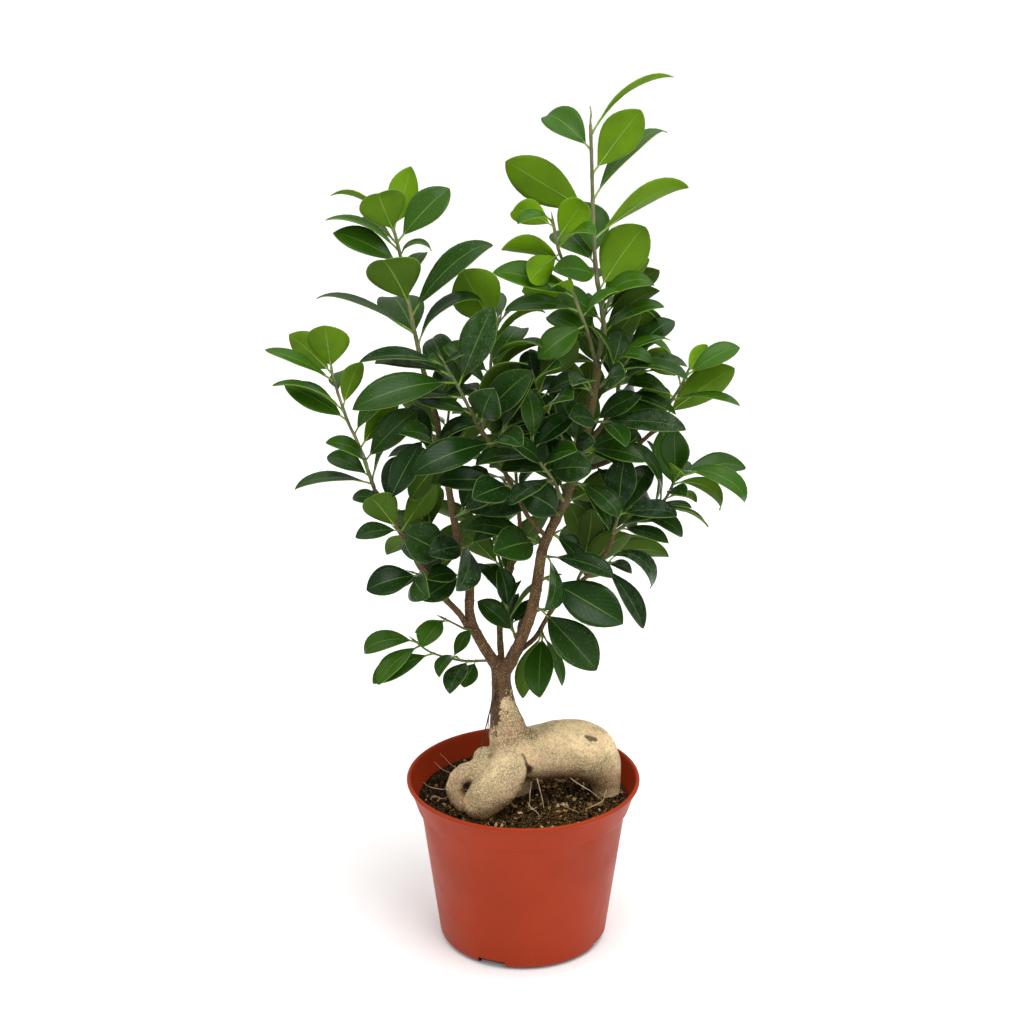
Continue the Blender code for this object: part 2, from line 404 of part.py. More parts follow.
def side_frames(points):
    """A side vector at each point that turns as little as it can along the line."""
    heading = (points[1] - points[0]).normalized()
    side = heading.orthogonal().normalized()
    sides = []
    for index in range(len(points)):
        before = points[max(index - 1, 0)]
        after = points[min(index + 1, len(points) - 1)]
        heading = (after - before).normalized()
        side = (side - heading * side.dot(heading)).normalized()
        sides.append((side.copy(), heading.cross(side)))
    return sides


def tube(points, radii, sides):
    """A capped tube through the points. Returns the bmesh and its rings of vertices."""
    shape = bmesh.new()
    rings = []
    for centre, radius, (side, other) in zip(points, radii, side_frames(points)):
        ring = []
        for index in range(sides):
            turn = math.tau * (index + 0.5) / sides
            ring.append(shape.verts.new(centre + (side * math.cos(turn) + other * math.sin(turn)) * radius))
        rings.append(ring)
    for lower, upper in zip(rings, rings[1:]):
        for index in range(sides):
            after = (index + 1) % sides
            shape.faces.new((lower[index], lower[after], upper[after], upper[index]))
    shape.faces.new(reversed(rings[0]))
    shape.faces.new(rings[-1])
    return shape, rings


def tree_of(shape):
    shape.normal_update()
    return BVHTree.FromBMesh(shape)


def nearest_wood(place, wood):
    """Nearest point of the wood's surface, its normal and its distance."""
    found = [tree.find_nearest(place) for tree in wood]
    spot, normal, _index, distance = min(found, key=lambda entry: entry[3])
    return spot, normal, distance


def reach_wood(path, radius, wood):
    """Adds a foot to a path that starts off the wood, so that it leans into the nearest surface."""
    start = path[0]
    spot, normal, distance = nearest_wood(start, wood)
    if distance <= radius or (start - spot).dot(normal) < 0:
        return list(path)
    behind = start - (path[1] - start).normalized() * distance
    spot = nearest_wood(behind, wood)[0]
    return [spot + (spot - start).normalized() * radius, *path]


def trim_start(path, radius, obstacles):
    """Shortens the foot of a path until a tube along it stands clear of the wood that carries it."""
    points = list(path)
    for _ in range(400):
        shape, _rings = tube(points, [radius + SEAT_GAP] * len(points), 8)
        hit = tree_of(shape)
        inside = [tree for tree in obstacles if hit.overlap(tree)]
        shape.free()
        if not inside:
            return points
        step = 0.1 * MM
        while (points[1] - points[0]).length <= step * 2 and len(points) > 2:
            points.pop(0)
        points[0] = points[0] + (points[1] - points[0]).normalized() * step
    return points


def make_stem(name, foot, tip, path, wood):
    points = [Vector(row[:3]) * MM for row in curve_points([(*row, 0) for row in path], 2)]
    points = trim_start(reach_wood(points, foot * MM, wood), foot * MM, wood)
    last = len(points) - 1
    radii = [(foot + (tip - foot) * index / last) * MM for index in range(last + 1)]
    shape, _rings = tube(points, radii, STEM_SIDES)
    wood.append(tree_of(shape))
    return add_object(name, shape, "stem_bark", smooth=True)


def seen_direction(seen, away):
    """A direction noted by the angle it shows from the front and by how far it points away from there."""
    tilt = math.radians(VIEW_TILT)
    upward = Vector((0.0, math.sin(tilt), math.cos(tilt)))
    forward = Vector((0.0, math.cos(tilt), -math.sin(tilt)))
    seen, away = math.radians(seen), math.radians(away)
    across = Vector((1.0, 0.0, 0.0)) * math.cos(seen) + upward * math.sin(seen)
    return across * math.cos(away) + forward * math.sin(away)


def seen_face(heading, turn):
    """The direction that the upper face of a leaf looks in, from its noted turn."""
    tilt = math.radians(VIEW_TILT)
    viewer = Vector((0.0, -math.cos(tilt), math.sin(tilt)))
    viewer = (viewer - heading * viewer.dot(heading)).normalized()
    upper = viewer.cross(heading)
    if heading.x < 0:
        upper = -upper
    turn = math.radians(turn)
    return (viewer * math.cos(turn) + upper * math.sin(turn)).normalized()


def rule_leaf(heading, index, rng):
    """Heading and face of a leaf that follows the growth rule on a twig with this heading."""
    side = heading.orthogonal().normalized()
    around = Matrix.Rotation(math.radians(GOLDEN_ANGLE * index + rng.uniform(-12, 12)), 3, heading)
    radial = around @ side
    spread = math.radians(rng.uniform(52, 72))
    course = heading * math.cos(spread) + radial * math.sin(spread)
    face = heading - course * heading.dot(course)
    return course.normalized(), face.normalized()


def leaf_rings(base, heading, face, length, width, arch, margin=0.0):
    """Four-cornered sections of a leaf, stalk end first, and its tip. A margin swells them."""
    sideways = face.cross(heading)
    rings = []
    sections = [(STALK_SHARE, STALK_WIDTH / width)] + list(LEAF_OUTLINE)
    for share, breadth in sections:
        centre = base + heading * length * share + face * length * arch * 4 * share * (1 - share)
        half = width * breadth / 2 + margin
        thick = LEAF_THICKNESS / 2 + margin
        lift = face * half * LEAF_FOLD
        rings.append([centre - face * thick, centre + sideways * half + lift, centre + face * thick,
                      centre - sideways * half + lift])
    return rings, base + heading * (length + margin)


def leaf_tree(base, heading, face, length, width, arch, margin):
    """The space that a leaf takes, with a margin, to test it against its neighbours."""
    rings, tip = leaf_rings(base, heading, face, length, width, arch, margin)
    verts = [corner for ring in rings for corner in ring] + [tip]
    faces = [(3, 2, 1, 0)]
    for ring in range(len(rings) - 1):
        for corner in range(4):
            after = (corner + 1) % 4
            faces.append((ring * 4 + corner, ring * 4 + after, ring * 4 + 4 + after, ring * 4 + 4 + corner))
    start = (len(rings) - 1) * 4
    for corner in range(4):
        faces.append((start + corner, start + (corner + 1) % 4, len(verts) - 1))
    return BVHTree.FromPolygons(verts, faces)


class Shoot:
    """A twig and the leaves that found room on it."""

    def __init__(self, name, radius, rule_count, path, noted):
        self.name = name
        self.radius = radius * MM
        self.rule_count = rule_count
        self.path = [Vector(row[:3]) * MM for row in curve_points([(*row, 0) for row in path], 3)]
        self.noted = noted
        self.leaves = []
        self.foot_share = 0.0
        self.twig_tree = None
        self.core_tree = None

    def settle(self, wood, twigs):
        self.path = trim_start(reach_wood(self.path, self.radius, wood), self.radius, wood + twigs)
        self.twig_tree = self.tree(SEAT_GAP)
        self.core_tree = self.tree(0.0)
        self.foot_share = (self.path[1] - self.path[0]).length / self.length()

    def tree(self, margin):
        shape, _rings = tube(self.path, [self.radius + margin] * len(self.path), 6)
        tree = tree_of(shape)
        shape.free()
        return tree

    def length(self):
        return sum((b - a).length for a, b in zip(self.path, self.path[1:]))

    def free_place(self, share):
        """The nearest share of the twig that has no leaf yet."""
        room = min(1.3 * MM / self.length(), 0.9 / (len(self.noted) + self.rule_count + 1))
        taken = [leaf[0] for leaf in self.leaves]
        edge = min(0.9 * MM / self.length(), 0.2)
        low = min(self.foot_share + edge, 0.5) if self.length() < LONG_TWIG else 2 * edge
        high = 1.0 - edge
        share = min(max(share, low), high)
        for offset in range(60):
            for sign in (1, -1):
                candidate = share + sign * offset * room / 4
                if low <= candidate <= high and all(abs(candidate - other) >= room for other in taken):
                    return candidate
        return None


def stalk_tree(shoot, base, course, length):
    """The space of a leaf's stalk, from the side of its twig to where the blade starts."""
    start = base + course * shoot.radius * 1.3
    end = base + course * max(length * STALK_SHARE, shoot.radius * 1.3 + 0.3 * MM)
    shape, _rings = tube([start, end], [STALK_WIDTH / 2 + SEAT_GAP] * 2, 4)
    tree = tree_of(shape)
    shape.free()
    return tree


def crown_clash(trees, shoot, shoots, wood, grown):
    others = wood + [other.twig_tree for other in shoots if other is not shoot] + grown
    return any(tree.overlap(other) for tree in trees for other in others)


def try_leaf(shoot, share, course_for, length, width, arch, shoots, wood, grown):
    """Grows one leaf, turned aside in small steps where a neighbour is in its way."""
    share = shoot.free_place(share)
    if share is None:
        return False
    base, heading = along(shoot.path, share)
    for shrink in (1.0, 0.85, 0.72):
        for aside in ASIDE_STEPS:
            course, face = course_for(heading, aside)
            form = (course, face, length * shrink * MM, width * shrink * MM, arch)
            if leaf_tree(base, *form, 0.0).overlap(shoot.core_tree):
                continue
            trees = [leaf_tree(base, *form, LEAF_MARGIN), stalk_tree(shoot, base, course, form[2])]
            if not crown_clash(trees, shoot, shoots, wood, grown):
                grown += trees
                shoot.leaves.append((share, *form))
                return True
    return False


def grow_noted(shoots, wood, grown):
    missed = 0
    for shoot in shoots:
        for share, seen, away, length, width, turn, arch in shoot.noted:
            def course_for(_heading, aside, seen=seen, away=away, turn=turn):
                course = seen_direction(seen, away + aside)
                return course, seen_face(course, turn)
            missed += not try_leaf(shoot, share, course_for, length, width, arch, shoots, wood, grown)
    return missed


def grow_by_rule(shoots, wood, grown):
    rng = random.Random(GROWTH_SEED)
    missed = 0
    for shoot in shoots:
        for index in range(shoot.rule_count):
            state = rng.getrandbits(32)
            share = (index + 0.5) / shoot.rule_count

            def course_for(heading, aside, state=state, index=index):
                course, face = rule_leaf(heading, index, random.Random(state))
                turn = Matrix.Rotation(math.radians(aside * 1.5), 3, heading)
                return turn @ course, turn @ face
            length = RULE_LENGTH * rng.uniform(0.85, 1.15)
            missed += not try_leaf(shoot, share, course_for, length, RULE_WIDTH, 0.1, shoots, wood, grown)
    return missed


def end_leaf(shoot, leaves):
    """The last leaf of the twig, if it points so much along the twig that it grows out of its end."""
    share, course = leaves[-1][:2]
    _place, heading = along(shoot.path, 1.0)
    near_end = (1.0 - share) * shoot.length() < 2.0 * MM
    return leaves.pop() if near_end and course.dot(heading) > END_LEAF_ALIGNMENT else None


def twig_stations(shoot, leaves):
    """Shares of the twig at which it has a ring: two for each leaf, so that each leaf has a band of its own."""
    half = min(1.1 * MM, shoot.length() * 0.2) / shoot.length()
    shares = [0.0]
    if leaves and shoot.foot_share < leaves[0][0] - 0.3 * half:
        shares.append(shoot.foot_share)
    bands = []
    for index, leaf in enumerate(leaves):
        low = max(leaf[0] - half, shares[-1])
        if low - shares[-1] < 0.3 * half:
            low = shares[-1]
        else:
            shares.append(low)
        high = leaf[0] + half
        if index + 1 < len(leaves):
            high = min(high, (leaf[0] + leaves[index + 1][0]) / 2)
        high = min(high, 1.0)
        bands.append((len(shares) - 1, leaf))
        shares.append(high)
    if 1.0 - shares[-1] > 0.3 * half:
        shares.append(1.0)
    return shares, bands


def build_shoot(shoot, slot):
    """The twig and its leaves as one closed skin: each leaf is drawn out of a face on the side of the twig."""
    leaves = sorted(shoot.leaves, key=lambda leaf: leaf[0])
    last = end_leaf(shoot, leaves)
    shares, bands = twig_stations(shoot, leaves)
    points = [along(shoot.path, share)[0] for share in shares]
    radii = [shoot.radius * (1.0 - 0.35 * share) for share in shares]
    shape, rings = tube(points, radii, TWIG_SIDES)
    faces = {frozenset(face.verts): face for face in shape.faces}
    if last:
        share, *form = last
        shape.faces.remove(faces.pop(frozenset(rings[-1])))
        draw_leaf(shape, rings[-1], *leaf_rings(along(shoot.path, share)[0], *form))
    for band, (share, course, face, length, width, arch) in bands:
        base = along(shoot.path, share)[0]
        lower, upper = rings[band], rings[band + 1]
        sides = []
        for index in range(TWIG_SIDES):
            after = (index + 1) % TWIG_SIDES
            corners = (lower[index], lower[after], upper[after], upper[index])
            middle = sum((corner.co for corner in corners), Vector()) / 4
            outward = (middle - along(shoot.path, share)[0]).normalized()
            sides.append((outward.dot(course), index, outward, corners))
        lean, _index, outward, corners = max(sides)
        shape.faces.remove(faces.pop(frozenset(corners)))
        sections, tip = leaf_rings(base, course, face, length, width, arch)
        clear = shoot.radius + STALK_WIDTH - lean * length * STALK_SHARE
        if clear > 0:
            sections[0] = [corner + outward * clear for corner in sections[0]]
        draw_leaf(shape, corners, sections, tip)
    bmesh.ops.recalc_face_normals(shape, faces=shape.faces)
    return add_object(shoot.name, shape, slot)


def draw_leaf(shape, corners, sections, tip):
    """Skins a leaf from four corners on the twig to its tip."""
    first = sections[0]
    shifts = []
    for shift in range(4):
        turned = first[shift:] + first[:shift]
        shifts.append((sum((a.co - b).length for a, b in zip(corners, turned)), shift))
    shift = min(shifts)[1]
    previous = list(corners)
    for section in sections:
        turned = section[shift:] + section[:shift]
        ring = [shape.verts.new(corner) for corner in turned]
        for index in range(4):
            after = (index + 1) % 4
            shape.faces.new((previous[index], previous[after], ring[after], ring[index]))
        previous = ring
    end = shape.verts.new(tip)
    for index in range(4):
        shape.faces.new((previous[index], previous[(index + 1) % 4], end))


def grow_plant(caudex):
    skin = bmesh.new()
    skin.from_mesh(caudex.data)
    wood = [tree_of(skin)]
    skin.free()
    for name, (foot, tip, path) in STEMS.items():
        make_stem(name, foot, tip, path, wood)
    shoots = [Shoot(name, *row) for name, row in SHOOTS.items()]
    settled = []
    for shoot in shoots:
        shoot.settle(wood, [other.twig_tree for other in settled])
        settled.append(shoot)
    grown = []
    missed = grow_noted(shoots, wood, grown)
    missed_by_rule = grow_by_rule(shoots, wood, grown)
    for shoot in shoots:
        build_shoot(shoot, "young_leaf_green" if shoot.name in YOUNG_SHOOTS else "leaf_green")
    print(f"{len(grown) // 2} leaves; no room for {missed} noted and {missed_by_rule} by rule")


def main():
    clear_scene()
    caudex = make_caudex()
    make_pot()
    make_soil(caudex)
    grow_plant(caudex)


main()
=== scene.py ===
"""Potted ginseng ficus: the looks of the plant, its soil and its nursery pot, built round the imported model.

Tables are in millimetres and degrees, meshes in metres. The leaves follow the same tables and the same growth
rule as the solids, so a leaf lies on the solid that it stands for, with a finer blade, stalk and skin. Thin
leaves that have no solid close the gaps between them.
"""

import math
import random

import bmesh
import bpy
from bpy.props import FloatProperty, FloatVectorProperty, IntProperty, PointerProperty
from mathutils import Matrix, Vector, noise
from mathutils.bvhtree import BVHTree


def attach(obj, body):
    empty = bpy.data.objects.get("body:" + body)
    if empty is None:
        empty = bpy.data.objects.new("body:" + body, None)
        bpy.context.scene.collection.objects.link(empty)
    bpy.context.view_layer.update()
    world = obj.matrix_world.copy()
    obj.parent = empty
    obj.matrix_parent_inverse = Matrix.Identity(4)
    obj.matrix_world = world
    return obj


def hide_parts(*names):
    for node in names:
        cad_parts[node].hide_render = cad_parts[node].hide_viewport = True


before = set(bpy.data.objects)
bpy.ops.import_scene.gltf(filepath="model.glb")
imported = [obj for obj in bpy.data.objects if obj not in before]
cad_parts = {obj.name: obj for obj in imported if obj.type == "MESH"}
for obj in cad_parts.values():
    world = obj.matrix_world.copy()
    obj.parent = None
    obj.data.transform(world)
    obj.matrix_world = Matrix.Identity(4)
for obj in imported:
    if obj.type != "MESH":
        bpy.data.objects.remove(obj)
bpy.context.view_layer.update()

bl_info = {
    "name": "Potted ginseng ficus",
    "version": (1, 0, 0),
    "blender": (4, 5, 0),
    "location": "View3D > Sidebar > Ficus",
    "description": "Builds a ginseng ficus in a nursery pot, piece by piece",
    "category": "Object",
}

MM = 0.001
WELD_TUBES = 0.002 * MM
WELD_SPUN = 0.005 * MM

# Pot: its outline as (radius, height), from the middle of the underside round to the middle of the floor.
POT_OUTLINE = (
    (0.0, 0.0), (39.2, 0.0), (40.9, 0.4), (42.3, 1.3), (43.2, 2.4), (43.7, 3.8), (53.1, 73.9), (53.5, 74.4),
    (54.3, 74.6), (54.8, 74.9), (55.1, 75.6), (58.7, 86.9), (59.1, 87.5), (59.8, 87.8), (60.2, 88.3),
    (60.3, 88.9), (60.1, 89.5), (59.6, 89.9), (59.0, 90.0), (58.5, 89.7), (58.1, 89.0), (57.6, 87.2),
    (54.1, 76.2), (53.6, 75.2), (52.3, 73.4), (43.0, 8.8), (42.2, 7.4), (41.0, 6.8), (38.0, 6.2),
    (34.0, 2.4), (0.0, 2.4),
)
# The middle of its wall: radius at the floor in metres, and how much it grows with height.
WALL_FOOT = 0.0424
WALL_FLARE = 0.137
FOOT_NOTCHES = (-112.5, -22.5, 67.5, 157.5)
FOOT_NOTCH_SIZE = (12.0, 15.0, 4.4)
FOOT_NOTCH_REACH = 43.5
DRAIN_HOLE_RADIUS = 3.5
DRAIN_HOLE_REACH = 27.0
DRAIN_HOLES = 6

# Soil: its side follows the inside of the pot, its top is a low uneven mound.
SOIL_SIDE = ((0.0, 2.8), (33.8, 2.8), (37.8, 6.6), (40.7, 7.4), (42.5, 9.0), (51.6, 73.6), (53.5, 76.2),
             (54.0, 77.8))
SOIL_LEVEL = 77.0
SOIL_RING_STEP = 0.9
SOIL_SEGMENTS = 190
SCATTER_REACH = 52.5
CHIPS = 110

# Caudex: (x, y, z, radius) along each swollen root; the first is the neck.
CAUDEX_LIMBS = (
    ((-11.6, 0.0, 150.0, 4.6), (-11.4, 0.0, 141.0, 5.0), (-10.8, 0.0, 133.0, 5.9), (-9.8, 0.0, 126.0, 7.3),
     (-8.2, 0.0, 118.0, 9.4), (-7.0, -1.0, 109.0, 10.6), (-5.0, 2.0, 96.0, 9.0), (-3.0, 6.0, 80.0, 7.0),
     (-2.0, 7.0, 62.0, 5.0)),
    ((-7.0, 0.0, 111.0, 8.0), (2.0, 0.0, 103.0, 12.8), (12.0, 2.0, 103.4, 14.6), (23.0, 3.0, 103.8, 15.4),
     (33.0, 4.0, 101.6, 14.7), (39.0, 5.0, 94.5, 11.8), (42.5, 5.0, 86.0, 8.4), (43.2, 5.0, 77.0, 7.0),
     (42.5, 5.0, 66.0, 5.6)),
    ((-7.0, -1.0, 111.0, 9.5), (-6.5, -8.0, 105.0, 9.2), (-8.0, -13.5, 99.5, 10.2),
     (-12.5, -17.5, 93.5, 10.8), (-18.5, -19.5, 88.0, 10.4), (-21.5, -19.8, 84.5, 9.2)),
    ((-7.0, -5.0, 102.0, 6.5), (-15.0, -7.5, 98.4, 6.6), (-23.0, -8.0, 96.2, 6.6), (-30.5, -8.0, 93.6, 6.2),
     (-34.6, -8.5, 87.5, 5.2), (-33.4, -10.0, 81.0, 4.4), (-30.5, -11.5, 77.5, 3.6)),
    ((-15.0, -2.0, 102.5, 3.2), (-20.8, -1.5, 103.2, 3.7), (-23.2, -2.0, 101.0, 3.0)),
)
# Woody stems: radius at foot and tip, then the path. Each stands on the caudex or on an earlier stem.
STEMS = {
    "right_stem": (3.2, 1.9, ((-9, -1, 150), (-3, -3, 163), (4, -6, 184), (7, -8, 202), (10, -8, 220),
                              (20, -4, 242), (29, 0, 268), (35, 4, 300), (36, 5, 311))),
    "left_stem": (2.9, 1.1, ((-13, 1, 150), (-22, 2, 165), (-27, 2, 178), (-27, 0, 193), (-27, -2, 206),
                             (-32, -4, 219), (-35, -6, 237), (-38, -6, 256), (-41, -6, 275), (-45, -6, 295),
                             (-51, -6, 319))),
    "back_stem": (1.7, 1.0, ((-11, 3, 150), (-12, 12, 170), (-9, 18, 184), (-6, 22, 197), (-2, 26, 215),
                             (-3, 27, 233))),
    "far_left_branch": (1.7, 1.1, ((-28, 2, 172), (-33, -2, 182), (-44, -8, 197), (-50, -12, 210),
                                   (-60, -16, 229), (-67, -18, 244), (-73, -18, 253))),
    "low_right_branch": (1.3, 1.0, ((-5, 1, 157), (6, 10, 163), (13, 14, 174), (20, 13, 184), (28, 7, 194),
                                    (37, 0, 206), (43, -5, 220), (45, -6, 226))),
    "centre_branch": (1.2, 1.0, ((10, -8, 226), (3, -14, 236), (-5, -16, 252), (-15, -14, 273),
                                 (-22, -11, 283))),
    "right_branch": (1.4, 1.1, ((26, 0, 256), (39, 12, 256), (54, 20, 261), (66, 24, 270))),
    "upper_branch": (1.2, 1.0, ((31, 1, 268), (36, 9, 273), (41, 17, 278), (45, 22, 285))),
}

